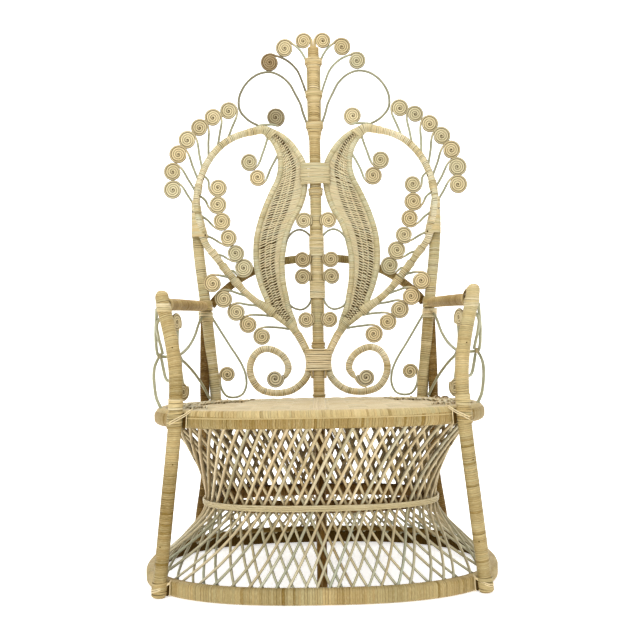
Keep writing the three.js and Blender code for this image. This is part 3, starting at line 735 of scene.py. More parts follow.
# legs, uprights, arms
for name, s in SIDES:
    pc = Piece()
    leg = [(368.0, -225.9, 2.3), (342, -238, 215), (327.5, -245.5, 330), (320, -249, 400), (318, -248.5, 440), (318.5, -242.5, 505), (327.5, -232.5, 570), (337, -226.5, 613), (347, -223, 655), (350, -222, 677), (350.4, -221.8, 691 + 1.5 * s)]
    d = arc(curve(side(leg, s), 2.0))[-1]
    top = [0.56, 0.52, 0.42, 0.38, 0.24, 0.32, 0.32] if s > 0 else [0.48, 0.40, 0.28, 0.38, 0.14, 0.18, 0.20]
    wrapped(pc, side(leg, s), lambda q, d=d: np.where(q > d - 15, np.sqrt(np.maximum(15.5**2 - (q - d + 15) ** 2, 6.0)), 15.5) - 0.2, 4.5, 0.5, 20, depth=0.85, tone=lambda q, d=d, top=top: np.interp(d - q, [0, 60, 190, 340, 520, 640, 700], top), hue=0.42, strong=0.12)
    for z, a in ((302, -1.2), (118, -1.9), (560, -1.4)):
        c = np.array([s * np.interp(z, [p[2] for p in leg], [p[0] for p in leg]), np.interp(z, [p[2] for p in leg], [p[1] for p in leg]), z])
        n = np.array([math.cos(a), math.sin(a), 0])
        cane(pc, np.array([c + n * 14, c + n * 15.2, c + n * 16.5]), [1.7, 1.7, 1.2], 8, Z, 0.05, 0.5, 1.2)
    done("front_leg_" + name, pc, "wrapped_pole", M_POLE)

    pc = Piece()
    wrapped(pc, side([(353.0, 241.0, 2.2), (341, 232, 94), (323, 224, 213), (320, 217, 400), (321, 223, 460), (324, 277, 648)], s), 13.0, 5.4, 0.45, 16, tone=0.46, spread=0.16, hue=0.34)
    done("back_leg_" + name, pc, "dark_pole", M_DARK)

    pc = Piece()
    wrapped(pc, side([(290.5, 231, 384), (291.5, 233, 430), (303, 240.5, 542.5), (314.5, 248, 655)], s), 15.3, 5.2, 0.5, 18, tone=lambda q, s=s: np.interp(q, [0, 150, 200, 275], [0.66, 0.66, 0.50, 0.40]) - 0.10 * (s > 0), hue=0.38, spread=0.12, depth=1.2, strong=0.22)
    # lashing of the upright to the seat rim
    c, n, w = np.array([290.5, 231.0, 0.0]), np.array([0.575, 0.818, 0.0]), np.array([0.818, -0.575, 0.0])
    for up in (1, -1):
        for dz in (0, 5.0):
            q = [(-31, -14, 418), (-21, 1, 412), (-10, 14, 407), (0, 17.4, 401), (10, 14, 395), (21, 1, 389), (31, -13, 384)]
            strap(pc, side([tuple(c + k * w * up + o * n + [0, 0, z - dz + 2]) for k, o, z in q], s), 4.2, 1.6, (n + 0) * [s, 1, 1], 0.62, 0.44)
    loops(pc, side([(290.5, 231.2, 387)], s)[0], side([(291.2, 232.4, 421)], s)[0], X, Y, 16.6, 16.6, 7, 4.8, 1.3, 2.0, 0.5, 0.42, tilt=0.8, edge=0.6)
    high = side([(314.5, 248, 655), (325.5, 255.5, 746), (336.5, 263, 837), (343.5, 275, 960)], s)
    d = arc(curve(high, 2.0))[-1]
    wrapped(pc, high, lambda q, d=d: np.interp(q, [0, d - 70, d - 25, d - 6, d], [15.3, 15.3, 12.6, 9.6, 5.0]), 5.2, 0.5, 18, tone=0.58, hue=0.34, spread=0.10, depth=1.1)
    # binding that wraps the upright's thin end and the bow together
    loops(pc, np.array([s * 342.0, 254.5, 984.0]), np.array([s * 340.2, 261.6, 954.0]), X, Y, [11.0, 14.0], [12.0, 24.6], 7, 4.9, thick=1.6, tone=0.66, hue=0.40, edge=0.4)
    loops(pc, np.array([s * 340.0, 261.8, 949.5]), np.array([s * 331.4, 258.7, 882.0]), X, Y, [14.4, 23.0], [24.8, 25.0], 15, 5.0, thick=1.6, tone=0.62, hue=0.40, edge=0.4)
    done("back_upright_" + name, pc, "wrapped_pole", M_POLE)

    pc = Piece()
    rail = side([(349, -221, 658), (342, 0, 672), (314, 240, 684)], s)
    d = arc(curve(rail, 2.0))[-1]
    wrapped(pc, rail, lambda q, d=d: np.interp(q, [0, d - 60, d - 14, d], [14.4, 14.4, 10.5, 8.5]), 5.2, 0.5, 18, ref=Z, tone=lambda q: np.interp(q, [0, 250, 430], [0.12, 0.19, 0.40]), hue=0.64)
    done("arm_rail_" + name, pc, "wrapped_pole", M_POLE)

# spine with its wide bands
pc = Piece()
SPINE = [(0, 327.5, 0.4), (0, 326, 40), (0, 306, 230), (0, 287, 370), (0, 286, 428), (0, 327, 900), (0, 376.2, 1461.5)]


def spine_y(z):
    return np.interp(z, [p[2] for p in SPINE], [p[1] for p in SPINE])


def spine_loops(pc, z0, z1, a, b, n, wide=4.6, **kw):
    loops(pc, (0, spine_y(z0), z0), (0, spine_y(z1), z1), X, Y, a, b, n, wide, **kw)


wrapped(pc, [(0, spine_y(z), z) for z in (1.0, 40, 230, 370, 428, 600, 900, 1060)], 16.8, 5.2, 0.5, 20, tone=lambda q: np.interp(q, [0, 400, 450, 600, 880, 960, 1070], [0.5, 0.46, 0.50, 0.56, 0.60, 0.56, 0.52]), hue=lambda q: np.interp(q, [0, 450, 650, 900], [0.55, 0.57, 0.47, 0.43]), hspread=0.09, spread=0.12, depth=1.2, strong=0.2)
wrapped(pc, [(0, spine_y(z), z) for z in (1060, 1200, 1330, 1461.5)], 16.8, 6.2, 0.4, 20, tone=lambda q: np.interp(q, [0, 180, 280, 400], [0.58, 0.55, 0.39, 0.35]), hue=lambda q: np.interp(q, [0, 150, 280], [0.52, 0.54, 0.62]), hspread=0.09, spread=0.12, depth=0.9, strong=0.2)
for top, low in ((1412, 1382), (1312, 1280), (1216, 1182)):
    k = int((top - low) / 4.4)
    spine_loops(pc, top, low, [23.4, 20.4, 18.5, 17.4], [19.2, 18.6, 17.9, 17.3], k, 4.6, thick=1.2, tone=0.52, hue=0.58, edge=0.45)


spine_loops(pc, 830, 890, 21.0, 18.6, 12, 5.0, tone=0.66, hue=0.40, thick=2.0, edge=0.6)
spine_loops(pc, 561, 579, 19.2, 19.2, 3, 5.4, thick=3.2, tone=0.58)
# a two-turn collar at the spine's foot, painted dark as the shadow where the spine meets the seat
spine_loops(pc, 421, 428, 18.6, 18.6, 2, 3.4, tone=0.15)
for s in (1, -1):
    p = curve([(s * 2.4, spine_y(1455), 1455), (s * 2.6, spine_y(1478), 1478), (s * 3.4, spine_y(1490), 1491)], 3.0)
    cane(pc, p, 2.3, 8, Y, 0.6, 0.5)
    p = np.array([(s * 20, spine_y(500) - 11, 508), (s * 20, spine_y(480) - 11, 490), (s * 19.5, spine_y(470) - 11, 474)])
    cane(pc, p, 3.1, 8, Y, 0.55, 0.5)
done("spine_pole", pc, "wrapped_pole", M_POLE)

# ---------------------------------------------------------------- back
BOW = [[152, 1210, 0], [191, 1201, 0], [229, 1187, 0], [263, 1165, 0], [291, 1135, 0], [312, 1101, 0], [327, 1063, 2], [336, 1023, 8], [339, 982, 16], [336, 942, 19], [327, 902, 19], [315, 863, 14], [291, 830, 5], [267, 797, 0], [242, 765, 0], [216, 734, 0], [186, 706, 0], [150, 681, 0]]
PANEL_OUTER = [[146, 1193], [127, 1169], [114, 1142], [108, 1112], [110, 1081], [119, 1052], [133, 1025], [146, 997], [158, 968], [168, 939], [176, 910], [182, 879], [184, 849], [184, 818], [181, 787], [174, 757], [165, 728], [153, 699], [143, 666], [107, 636], [74, 612]]
PANEL_INNER = [[130, 1216], [96, 1201], [67, 1177], [44, 1146], [28, 1114], [23, 1077], [24, 1039], [32, 1003], [46, 969], [65, 937], [79, 902], [88, 865], [94, 828], [94, 791], [91, 754], [84, 717], [76, 680], [61, 638], [58, 616]]
SCROLL = [[74, 627], [56, 595], [41, 567], [29.5, 539], [27.8, 509], [35, 480], [55, 456], [81, 440], [111, 434], [141, 436], [169, 447], [188, 470], [197, 500], [192, 529], [175, 553], [149, 562], [120, 553], [98, 534], [87.5, 507], [93, 488], [103, 475]]
OUTER_COILS = [[250, 1261], [294, 1237], [333, 1203], [365, 1163], [389, 1118], [403, 1068], [403, 1017]]
OUTER_STEMS = [
    [[227, 1252], [231, 1225], [257, 1171]],
    [[272, 1229], [272, 1195], [284, 1146]],
    [[310, 1200], [304, 1165], [308, 1114]],
    [[342, 1161], [333, 1128], [325, 1078]],
    [[367, 1120], [352, 1092], [335, 1047, 4]],
    [[384, 1080], [367, 1054], [340, 1010, 10]],
    [[384, 1030], [367, 1006], [342, 968, 17]],
]
INNER_COILS = [[282, 1031], [283, 981], [273, 932], [255, 885], [234, 841], [211, 797]]
INNER_STEMS = [
    [[302, 1024], [310, 1052], [328, 1064, 2]],
    [[303, 972], [318, 992, 4], [337, 1003, 12]],
    [[291, 916], [312, 934, 6], [334, 946, 19]],
    [[272, 868], [296, 880, 6], [318, 888, 17]],
    [[250, 822], [272, 832], [293, 834, 5]],
    [[224, 780], [242, 788], [257, 786]],
]
LOWER_COILS = [[296, 748, 19], [267, 706, 6], [235, 668, 3], [200, 633, 3], [161, 598, 3]]
LOWER_STEMS = [
    [[288, 770, 18], [270, 772, 10], [246, 766, 2]],
    [[268, 728, 6], [226, 722, 4], [191, 708, 2]],
    [[236, 691, 3], [200, 690, 3], [150, 683, 2]],
    [[202, 656, 3], [171, 660, 3], [130, 655, 2]],
    [[162, 621, 3], [129, 624, 3], [84, 618, 2]],
]


def resample(pts, n):
    c = curve(on_back(pts), 2.0)
    s = arc(c)
    q = np.linspace(0, s[-1], n)
    return np.stack([np.interp(q, s, c[:, k]) for k in range(3)], 1)


def panel(pc, s):
    n = 216
    o, i = resample(PANEL_OUTER, n), resample(PANEL_INNER, n)
    width = np.linalg.norm(o - i, axis=1)
    across = unit(i - o)
    er = np.clip(width * 0.16, 4.2, 8.6)
    mid = (o + i) / 2
    run = tangents(mid)
    for edge, sgn in ((o, 1), (i, -1)):
        line = edge + sgn * er[:, None] * across
        line = line * [s, 1, 1]
        q = arc(line)
        wrapped(pc, line[::3], lambda x, q=q: np.interp(x, q, er) - 0.2, 5.2, 0.36, 14, tone=0.60, spread=0.12, hue=0.38, hspread=0.08, depth=0.8)
    # ribs under the strands at three places across the panel, painted darker where they show through the slits: painted
    # shade of the recessed ribs
    slit = {
        0.27: lambda f: np.interp(f, [0, 0.2, 0.3, 0.92, 1], [0.25, 0.25, 1, 1, 0.6]),
        0.435: lambda f: np.interp(f, [0, 0.3, 0.5, 0.92, 1], [0.2, 0.2, 0.45, 0.6, 0.5]),
        0.60: lambda f: np.interp(f, [0, 0.05, 0.24, 0.32, 0.45, 0.92, 1], [0.5, 1, 1, 0.4, 0.8, 0.85, 0.5]),
    }
    for w, deep in slit.items():
        line = (o + (i - o) * w)[6:-10:3] * [s, 1, 1]
        f = deep(np.linspace(0, 1, len(line)))
        cane(pc, line, 1.9 + 2.8 * f, 8, Y, 0.55 - 0.5 * f, 0.5, 0.05 + 1.8 * f)
    total = arc(mid)[-1]
    rows = int(total / 4.0)
    at = np.linspace(7, n - 6, rows) + 0.22 * rng.standard_normal(rows)
    # painted shade: a dark sheet inside the weave, behind its strands
    k0, k1 = 8, n - 8
    sheet = []
    for w in (0.15, 0.3, 0.45, 0.56, 0.66):
        sheet.append((o + (i - o) * w)[k0:k1] + [0, 1.0, 0])
    for w in (0.66, 0.56, 0.45, 0.3, 0.15):
        sheet.append((o + (i - o) * w)[k0:k1] + [0, 2.2, 0])
    sheet = np.stack(sheet, 1) * [s, 1, 1]
    pc.grid(sheet if s > 0 else sheet[:, ::-1], 0.05, 0.5, 1.6, sheet * 0.05)
    # pale inside of the close band along the inner edge
    sheet = []
    for w, y in ((0.64, 1.0), (0.75, 1.0), (0.87, 1.0), (0.87, 1.8), (0.75, 1.8), (0.64, 1.8)):
        sheet.append((o + (i - o) * w)[k0:k1] + [0, y, 0])
    sheet = np.stack(sheet, 1) * [s, 1, 1]
    pc.grid(sheet if s > 0 else sheet[:, ::-1], 0.70, 0.5, 0.25, sheet * 0.05)
    for k, a in enumerate(at):
        j = int(a)
        f = a - j
        oo, ii = o[j] * (1 - f) + o[j + 1] * f, i[j] * (1 - f) + i[j + 1] * f
        w = np.linalg.norm(ii - oo)
        e = 1.0 * np.interp(a, np.arange(n), er) / w
        x = np.linspace(e, 1 - e, 17)
        env = np.clip(np.minimum(x - e, 1 - e - x) / 0.12, 0, 1)
        high = np.interp(x, list(slit), [2.3 + 2.9 * float(deep(a / n)) * rng.uniform(0.7, 1.15) for deep in slit.values()])
        lift = high * math.cos(math.pi * k) * np.cos(2 * math.pi * (x - 0.435) / 0.33) * env * np.interp(x, [0.16, 0.2, 0.66, 0.70], [0.3, 1, 1, 0.25]) - 1.4 * (1 - env)
        p = oo + (ii - oo) * x[:, None] - lift[:, None] * Y
        p = p * [s, 1, 1]
        tone, hue = 1.02 + 0.06 * (-1) ** k + 0.10 * rng.standard_normal(), 0.53 + 0.09 * rng.standard_normal()
        cane(pc, p, 1.75, 6, Y, tone, hue, 0.0, False, 0.66, cap=False, edge=0.35)
        # the same strand where it comes back behind the close band
        x = np.linspace(0.62, 1 - e, 5)
        p = (oo + (ii - oo) * x[:, None] + [0, 2.6, 0]) * [s, 1, 1] + [0, 0, 2.0]
        cane(pc, p, 2.15, 6, Y, tone, hue, 0.0, False, 0.6, cap=False, edge=0.35)

    # wound sleeves: the neck into the bow, and the tip into the scroll
    neck = on_back([[178, 1205], [160, 1210], [145, 1208], [133, 1200], [124, 1191]], s)
    wrapped(pc, neck, lambda q: np.interp(q, [0, 18, 34, 50, 66], [11.4, 12.0, 13.8, 16.5, 18.0]), 5.4, 0.7, 22, tone=0.58, hue=0.42, depth=1.3,
            flat=lambda q: np.interp(q, [0, 20, 40, 66], [1.0, 0.96, 0.80, 0.66]))
    tip = on_back([[88, 642], [77, 629], [69, 617], [62, 606]], s)
    wrapped(pc, tip, lambda q: np.interp(q, [0, 16, 32, 46], [15.0, 13.4, 12.0, 11.2]), 4.6, 0.5, 22, tone=0.50, hue=0.42,
            flat=lambda q: np.interp(q, [0, 16, 32, 46], [0.74, 0.84, 0.95, 1.0]))
    # the strap that closes the lower end of the bow into the panel
    p = on_back([[176, 697], [150, 681], [128, 664]], s)
    wrapped(pc, p, lambda q: np.interp(q, [0, 60], [11.2, 15.5]), 4.2, 0.4, 18, tone=0.55, hue=0.4)


for name, s in SIDES:
    pc = Piece()
    wrapped(pc, on_back(BOW, s), 10.1, 5.2, 0.5, 16, tone=lambda q: np.interp(q, [0, 500, 800], [0.80, 0.76, 0.58]), spread=0.12, hue=0.36, hspread=0.10, depth=1.25, strong=0.30)
    for a, b in (((302, 845), (281, 818)), ((272, 804), (254, 781)), ((238, 760), (219, 738))):
        wrapped(pc, on_back([a, b], s), lambda q: np.interp(q, [0, 34], [12.8, 10.4]), 4.8, 0.5, 16, tone=0.62, hue=0.36, depth=1.4)
    for a, b in (((150, 1212), (196, 1200)), ((334, 1034, 6), (337, 1008, 11)), ((330, 912, 19), (322, 884, 17)), ((262, 790), (240, 763))):
        wrapped(pc, on_back([a, b], s), 11.5, 4.8, 0.5, 16, tone=0.66, hue=0.38, depth=1.4)
    for x, z, o in ((322, 1051, 10), (331, 999, 20), (327, 930, 25.5), (315, 886, 27.2)):
        c = on_back([[x, z, o]], s)[0]
        cane(pc, np.array([c + 2 * Y, c - 1.2 * Y, c - 2.4 * Y]), [3.0, 3.0, 2.0], 8, Z, 0.0, 0.5, 1.6)
    done("heart_bow_" + name, pc, "wrapped_pole", M_POLE)

    pc = Piece()
    panel(pc, s)
    done("woven_panel_" + name, pc, "panel_weave", M_PANEL)

    pc = Piece()
    d = arc(curve(on_back(SCROLL, s), 2.0))[-1]
    wrapped(pc, on_back(SCROLL, s), lambda q, d=d: np.interp(q, [0, d - 30, d - 12, d], [10.1, 10.1, 7.4, 4.2]), 5.0, 0.5, 16, tone=0.80, spread=0.14, hue=0.41, hspread=0.08, depth=1.2)
    wrapped(pc, on_back([[70, 620], [60, 603]], s), 11.2, 4.0, 0.4, 16, tone=0.6)
    cane(pc, curve(on_back([[52, 607, 4], [38, 580, 5], [27, 556, 6]], s), 3), 3.6, 8, Y, 0.5, 0.4)
    cx = 131 + 5 * s
    y0 = back_y(cx, 475)
    sp = coil_path(cx, 475, y0, 28.0, (cx - 25, 484), (97, 505), 3.6)
    sp[:, 0] *= s
    wound(pc, sp, 3.68, Y, 0.88, 0.38, 0.0, np.array([s * cx, y0, 475]))
    if s > 0:
        p = curve(on_back([[98, 494], [103, 480], [109, 467], [117, 456.5], [127, 450], [137, 448.5]], s), 2.0)
        cane(pc, p, np.linspace(4.6, 3.0, len(p)), 8, Y, 0.66, 0.40, edge=0.4)
    else:
        cane(pc, on_back([[101, 485], [104.5, 477]], s), [4.4, 3.2], 8, Y, 0.0, 0.5, 1.5)
    done("scroll_" + name, pc, "wrapped_pole", M_POLE)

    pc = Piece()
    for c, st in zip(OUTER_COILS, OUTER_STEMS):
        curl(pc, s, c, straight(c, st[-1]))
    done("outer_fringe_" + name, pc, "curl_cane", M_CURL)

    pc = Piece()
    for c, st in zip(INNER_COILS, INNER_STEMS):
        curl(pc, s, c, st, tone=0.92, hue=0.34)
    done("inner_fringe_" + name, pc, "curl_cane", M_CURL)

    pc = Piece()
    for c, st in zip(LOWER_COILS, LOWER_STEMS):
        curl(pc, s, c, st, tone=0.86, hue=0.42)
    done("lower_fringe_" + name, pc, "curl_cane", M_CURL)

    pc = Piece()
    curl(pc, s, [192, 1111], [[174, 1097], [153, 1142], [140, 1184]])
    curl(pc, s, [170, 1066], [[153, 1051], [131, 1094], [110, 1134]])
    done("heart_drops_" + name, pc, "curl_cane", M_CURL)

    pc = Piece()
    shades = ((0.97, 0.40), (0.57, 0.44), (0.64, 0.40), (0.72, 0.42)) if s > 0 else ((0.86, 0.36), (0.42, 0.50), (0.47, 0.42), (0.76, 0.46))
    for c, a0, shade in zip(([36, 935], [41, 821], [42, 769], [34, 645]), ((20, 925), (22, 833), (23, 757), (19.5, 660)), shades):
        y0 = back_y(*c) - 13
        sp = coil_path(c[0], c[1], y0, 26.8, a0, (a0[0] - 8, a0[1] + (a0[1] - c[1])), 3.05)
        sp[:, 0] *= s
        wound(pc, sp, 3.12, Y, shade[0] + 0.02 * rng.standard_normal(), shade[1] + 0.02 * rng.standard_normal(), 0.0, np.array([s * c[0], y0, c[1]]))
    for pts in ([[91, 866], [82, 888], [67, 904], [50, 910], [32, 904], [17, 888]], [[85, 698], [77, 685], [62, 676.5], [46, 674.5], [31, 682], [21, 696], [16, 712]]):
        stem(pc, s, pts, 3.2, 0.20, -0.06, 5)
    cane(pc, even(np.array([[s * 17.6, spine_y(z) - 6, z] for z in (648, 700, 760, 820, 880, 930)]), 6), 2.2, 8, Y, 0.5, 0.5)
    done("centre_curls_" + name, pc, "curl_cane", M_CURL)

    pc = Piece()
    kw = dict(tone=0.10, hue=0.70, stem_tone=0.16) if s < 0 else dict(tone=0.72, hue=0.34)
    y0 = back_y(29, 1486)
    sp = coil_path(29, 1485, y0, 26.8, (6, 1478), (8, 1450), 3.05)
    ns = len(sp)
    sp = np.vstack([sp, curve([sp[-1], (6.8, y0, 1470), (7.2, spine_y(1455), 1452)], 3)[1:]])
    sp[:, 0] *= s
    wound(pc, sp, 3.12, Y, 0.80, 0.45, np.clip((np.arange(len(sp)) - ns) / 8.0, 0, 1), np.array([s * 29, y0, 1485]))
    curl(pc, s, [85, 1462], [[66, 1474], [42, 1460], [22, 1424]], tone=0.80 if s > 0 else 0.68)
    curl(pc, s, [130, 1418], [[117, 1432], [78, 1424], [50, 1396], [35, 1361], [21, 1316]], **kw)
    curl(pc, s, [115, 1250], [[107, 1232], [128, 1227], [168, 1222]], **(dict(tone=0.42, hue=0.36) if s < 0 else {}))
    stem(pc, s, [[21, 1228], [33, 1262], [41, 1291], [56, 1322], [73, 1353], [98, 1376], [129, 1387], [161, 1381], [189, 1361], [209, 1334], [221, 1301], [219, 1267], [199, 1241], [168, 1224]], 3.7, 0.30 if s > 0 else 0.22, -0.06)
    cane(pc, even(np.array([[s * 18.4, spine_y(z) - 1, z] for z in (1226, 1300, 1380, 1424)]), 8), 2.4, 8, Y, 0.42, 0.4)
    done("crest_curls_" + name, pc, "curl_cane", M_CURL)

    pc = Piece()
    tear = [[300, 652], [278, 615], [263, 590], [248, 565], [232, 540], [218, 514], [209, 487], [208, 456], [219, 433], [240, 425], [262, 429.5], [277, 453], [281, 478]]
    y0 = back_y(259.5, 490)
    sp = coil_path(259.5, 490, y0, 24.6, (281, 484), (278, 455), 3.3)
    tail = on_back(tear[::-1], 1)
    rest = curve(np.vstack([sp[-6], sp[-1], tail[1:]]), 3.0)
    cut = int(np.argmin(np.linalg.norm(rest - sp[-1], axis=1)))
    p = np.vstack([sp[:-1], rest[cut:]]) * [s, 1, 1]
    k = np.clip((np.arange(len(p)) - len(sp)) / 10.0, 0, 1)
    # the coil is painted lighter than the other coils to make up for the seat's shade on it: painted light
    wound(pc, p, 3.36 + 0.14 * k, Y, 1.08 - 0.68 * k, 0.40 - 0.42 * k, k, np.array([s * 259.5, y0, 490]))
    done("teardrop_curl_" + name, pc, "curl_cane", M_CURL)

    pc = Piece()
    for c, turn, end in (((331, -150, 620), 18, (0.75, -0.45)), ((322, -128, 458), 25, (0.75, 0.45))):
        h = np.array([-math.sin(math.radians(turn)), math.cos(math.radians(turn)), 0])
        sp = coil_path(0, 0, 0, 25.0, (21 * end[0], 21 * end[1]), (60 * end[0] - 20 * end[1], 60 * end[1] + 40 * np.sign(end[1])), 3.0)
        p = (np.array(c) + sp[:, [0]] * h + sp[:, [2]] * Z) * [s, 1, 1]
        wound(pc, p, 3.06, unit(np.cross(h, Z)) * [s, 1, 1], 0.86, 0.40, 0.0, np.array(c) * [s, 1, 1])
    for pts in (
        [(326, 226, 652), (331, 200, 634), (334, 150, 601), (341, 90, 570), (350, 20, 549), (356, -10, 543)],
        [(356, -10, 541), (350, 20, 534), (340, 70, 516), (330, 130, 491), (321, 172, 466), (309, 203, 434), (305, 208, 424)],
        [(331, -130, 612), (340, -90, 572), (347, 0, 537)],
        [(323, -110, 465), (336, -70, 504), (347, 0, 537)],
        [(365, -205, 649), (379, -150, 613), (390, -100, 585), (398, -48, 553), (397, -36, 545), (372, -14, 541), (347, 0, 541)],
        [(398, -34, 538), (404, -46, 520), (404, -62, 500), (398, -85, 468), (389, -106, 440), (380, -116, 424), (375, -120, 414)],
        [(345, -176, 626), (358, -188, 630), (368, -186, 620), (378, -130, 590), (383, -80, 570), (386, -40, 550)],
        [(390, -34, 536), (380, -60, 508), (368, -92, 487), (350, -122, 481), (334, -138, 480), (327.3, -139.3, 479.6)],
    ):
        cane(pc, curve(side(pts, s), 4), 3.9, 8, X, 0.50, 0.05, wobble=0.04, edge=0.4, sharp=3)
    for k0 in ((394, -36, 544), (353, -6, 542)):
        c = np.array([s * k0[0], k0[1], k0[2]])
        loops(pc, c - 5 * X, c + 5 * X, Y, Z, 5.6, 6.4, 3, 3.4, 1.8, 2.2, 0.45, 0.3, count=16, tilt=0.3)
    done("arm_curls_" + name, pc, "curl_cane", M_CURL)

    # bindings and lashings
    pc = Piece()
    grow = 6.0 if s > 0 else 0.0
    loops(pc, side([(348.8, -207, 659 + grow)], s)[0], side([(347.6, -171, 661)], s)[0], X, Z, [16.6 + 0.3 * grow, 16.0, 15.4], [16.4 + grow, 16.0 + 0.3 * grow, 15.4], 7, 4.8, 1.6, 2.0, 0.38, 0.44, tilt=0.5, edge=0.3)
    loops(pc, side([(344.0, -224, 641)], s)[0], side([(347.6, -222.8, 660)], s)[0], X, Y, 16.2, 16.2, 4, 4.8, 1.0, 2.0, 0.66, 0.42, tilt=0.7, edge=0.6)
    done("arm_front_binding_" + name, pc, "wrapped_pole", M_POLE)
    pc = Piece()
    loops(pc, side([(316.2, 243, 672)], s)[0], side([(318.4, 245, 699)], s)[0], X, Y, 18.2, 27, 6, 4.8, 1.6, 2.6, 0.42, 0.42, tilt=0.6, edge=0.4)
    loops(pc, side([(317.2, 252, 643)], s)[0], side([(319.0, 253, 669)], s)[0], X, Y, 20.0, 24, 6, 4.7, 1.8, 2.4, 0.72, 0.40, tilt=0.8, edge=0.55)
    done("arm_back_binding_" + name, pc, "wrapped_pole", M_POLE)

    pc = Piece()
    loops(pc, side([(322.3, -248, 381)], s)[0], side([(318.9, -249.2, 418)], s)[0], X, Y, 17.0, 17.0, 7, 5.0, 1.4, 2.0, 0.34, 0.42, tilt=0.9, edge=0.6)
    loops(pc, side([(318.6, -249.1, 423)], s)[0], side([(318.0, -248.4, 446)], s)[0], X, Y, 16.3, 16.3, 5, 4.8, 1.1, 2.0, 0.60, 0.42, tilt=0.7, edge=0.5)
    for dz in (0, 5.4):
        q = [(336, -249, 386), (331, -261.5, 390), (322, -268.2, 395), (312, -265, 400.5), (303, -258, 405), (295, -254.5, 410), (287, -248.5, 416), (282, -239, 419)]
        strap(pc, side([(a, b, c + dz * (1 - 0.3 * k / 7)) for k, (a, b, c) in enumerate(q)], s), 2.5, 1.6, (0, -1, 0), 0.80, 0.5)
    # painted shadow: a dark strip on the rim beside the leg, where the straps pass behind
    cane(pc, curve(side([(300.0, -248.6, 414), (299.6, -250.8, 398), (300.6, -249.6, 382)], s), 3), 3.4, 8, -Y, 0.0, 0.5, 1.6)
    strap(pc, side([(294.4, -247, 418), (294.0, -253.4, 408), (294.4, -254.6, 396), (296, -252, 381)], s), 2.4, 1.5, (0, -1, 0), 0.72, 0.5)
    done("seat_lashing_" + name, pc, "wrapped_pole", M_POLE)

    pc = Piece()
    loops(pc, side([(367.4, -226, 5)], s)[0], side([(363.8, -228, 36)], s)[0], X, Y, 16.9, 16.9, 6, 5.2, 1.4, 2.0, 0.36, 0.42, tilt=1.2, edge=0.6)
    for dz in (0, 5.2):
        q = [(384, -229, 14), (379, -239.5, 16), (368, -244.6, 19.5), (357, -241.5, 24), (349, -233, 28), (343, -229, 32), (340, -221, 36.5)]
        strap(pc, side([(a, b, c + dz * (1 - 0.12 * k)) for k, (a, b, c) in enumerate(q)], s), 2.6, 1.6, (0, -1, 0), 0.80, 0.5)
    # painted shadow: a dark strip on the floor hoop beside the foot, where the straps pass behind
    cane(pc, curve(side([(347.8, -225.5, 31), (348.0, -226.4, 18), (348.8, -225.4, 4)], s), 3), 3.0, 8, -Y, 0.0, 0.5, 1.6)
    strap(pc, side([(342.0, -226.5, 36), (341.6, -229.4, 26), (342.0, -229.8, 14), (343.4, -226.5, 3)], s), 2.4, 1.4, (0, -1, 0), 0.76, 0.5)
    done("base_lashing_" + name, pc, "wrapped_pole", M_POLE)

pc = Piece()
arch = [[305, 688], [290, 711], [243, 755], [192, 788], [133, 814], [74, 825], [0, 829]]
wrapped(pc, np.vstack([on_back(arch, 1, -28.2), on_back(arch[:-1][::-1], -1, -28.2)]), 11.8, 5.4, 0.45, 16, tone=lambda q: np.interp(q, [0, 90, 230, 350, 470, 610, 700], [0.55, 0.74, 0.70, 0.80, 0.70, 0.74, 0.55]), spread=0.16, hue=lambda q: np.interp(q, [0, 200, 300, 400, 500, 700], [0.28, 0.22, 0.0, 0.0, 0.22, 0.28]))
done("back_brace", pc, "dark_pole", M_DARK)

# bridge between the panels: strips across, tucked in at both ends
pc = Piece()
n = 14
for k in range(n):
    z = 1043.5 + 63 * (k + 0.5) / n
    y0 = back_y(0, z)
    e = 43.0 + 1.2 * rng.standard_normal()
    pts = [(-e, y0 - 11, z), (-e + 5, y0 - 16.5, z), (-20, y0 - 22.4, z), (0, y0 - 23.4, z), (20, y0 - 22.4, z), (e - 5, y0 - 16.5, z), (e, y0 - 11, z)]
    p = curve(pts, 3.0)
    p[:, 2] += 0.4 * np.sin(p[:, 0] / 22 + rng.uniform(0, 6))
    cane(pc, p, 2.35, 8, Y, 0.66 + 0.09 * rng.standard_normal(), 0.46 + 0.07 * rng.standard_normal(), 0.0, False, 0.7, edge=1.0)
done("panel_bridge", pc, "panel_weave", M_PANEL)

for name, z in (("top", 1420), ("middle", 1320), ("lower", 1224)):
    pc = Piece()
    h = 8.0
    spine_loops(pc, z - h, z + h, 24.6, 19.6, 4, 4.4, thick=3.2, tone=0.60, hue=0.50, edge=0.7)
    done("crest_collar_" + name, pc, "wrapped_pole", M_POLE)
pc = Piece()
spine_loops(pc, 706, 757, 22.0, 18.8, 10, 5.1, thick=2.4, tone=0.68, hue=0.42, edge=0.7)
done("spine_binding_middle", pc, "wrapped_pole", M_POLE)
pc = Piece()
spine_loops(pc, 1012, 1033, [19.0, 21.0], [18.8, 20.0], 4, 5.0, tone=0.60)
done("spine_binding_upper", pc, "wrapped_pole", M_POLE)
pc = Piece()
y0, y1 = back_y(0, 497), back_y(0, 559)
loops(pc, (0, y0, 497), (0, y1, 559), X, Y, [36.6, 35.6, 36.0, 38.4], 19.4, 11, 6.0, 4.6, 3.0, 0.82, 0.52, 0.09, 48, 0.9, 0.7)
done("scroll_collar", pc, "wrapped_pole", M_POLE)


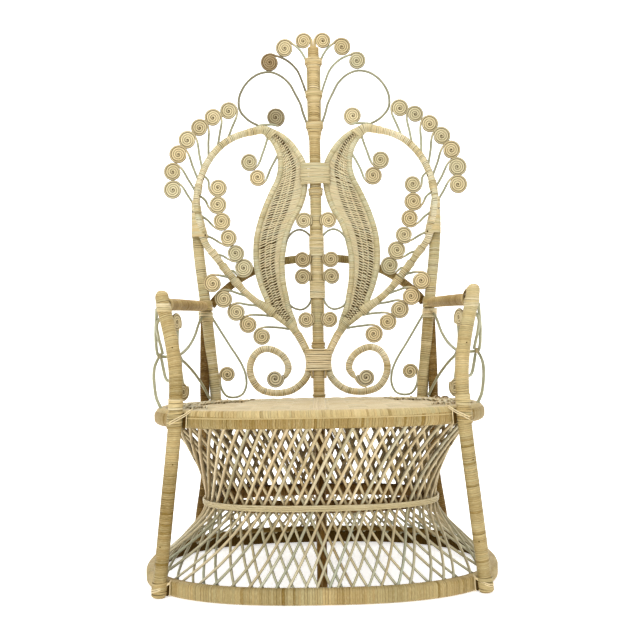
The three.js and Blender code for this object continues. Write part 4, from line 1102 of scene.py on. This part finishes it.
# ---------------------------------------------------------------- stage
def backdrop():
    prof = [(-6.0, 0.0)] + [(2.2 + 1.6 * math.sin(a), 1.6 - 1.6 * math.cos(a)) for a in np.linspace(0, math.pi / 2, 24)] + [(3.8, 6.0)]
    v, f = [], []
    for y, z in prof:
        v += [(-9, y, z - 0.0005), (9, y, z - 0.0005)]
    for k in range(len(prof) - 1):
        f.append((2 * k, 2 * k + 1, 2 * k + 3, 2 * k + 2))
    me = bpy.data.meshes.new("backdrop")
    me.from_pydata(v, [], f)
    for p in me.polygons:
        p.use_smooth = True
    m = bpy.data.materials.new("backdrop")
    m.use_nodes = True
    nt = m.node_tree
    bs = nt.nodes["Principled BSDF"]
    tc = nt.nodes.new("ShaderNodeTexCoord")
    nz = nt.nodes.new("ShaderNodeTexNoise")
    nz.inputs["Scale"].default_value = 1.4
    rp = nt.nodes.new("ShaderNodeValToRGB")
    rp.color_ramp.elements[0].color = (0.90, 0.90, 0.89, 1)
    rp.color_ramp.elements[1].color = (0.93, 0.93, 0.925, 1)
    nt.links.new(tc.outputs["Object"], nz.inputs["Vector"])
    nt.links.new(nz.outputs[0], rp.inputs[0])
    nt.links.new(rp.outputs[0], bs.inputs["Base Color"])
    bs.inputs["Roughness"].default_value = 0.9
    bs.inputs["Emission Color"].default_value = (1, 1, 1, 1)
    bs.inputs["Emission Strength"].default_value = 0.6
    bs.inputs["Specular IOR Level"].default_value = 0.1
    me.materials.append(m)
    ob = bpy.data.objects.new("backdrop", me)
    bpy.context.collection.objects.link(ob)


backdrop()


def area(name, place, target, size, power, colour=(1, 1, 1)):
    d = bpy.data.lights.new(name, "AREA")
    d.shape = "RECTANGLE"
    d.size, d.size_y = size
    d.energy = power
    d.color = colour
    ob = bpy.data.objects.new(name, d)
    ob.location = place
    ob.rotation_mode = "QUATERNION"
    ob.rotation_quaternion = (Vector(target) - Vector(place)).to_track_quat("-Z", "Y")
    bpy.context.collection.objects.link(ob)


area("key", (-0.8, -4.2, 3.6), (0, 0, 0.7), (2.2, 1.6), 120)
area("over", (0.2, -0.3, 4.4), (0, 0.2, 0), (3.6, 3.6), 125)
area("wall", (0, 1.6, 4.6), (0, 3.6, 1.2), (6, 1.2), 60)

w = bpy.data.worlds.new("studio")
w.use_nodes = True
w.node_tree.nodes["Background"].inputs[0].default_value = (1, 1, 1, 1)
w.node_tree.nodes["Background"].inputs[1].default_value = 0.36
sc = bpy.context.scene
sc.world = w
sc.view_settings.view_transform = "Standard"

cam = bpy.data.cameras.new("camera")
cam.sensor_width = 36.0
cam.lens = 44.72
cam.shift_x, cam.shift_y = 0.0023, 0.0625
cam.clip_end = 50
co = bpy.data.objects.new("camera", cam)
co.matrix_world = Matrix.Translation((0, -2.0525, 0.527)) @ Matrix.Rotation(math.radians(90), 4, "X") @ Matrix.Rotation(math.radians(-1), 4, "Z")
bpy.context.collection.objects.link(co)
sc.camera = co

bpy.context.view_layer.update()
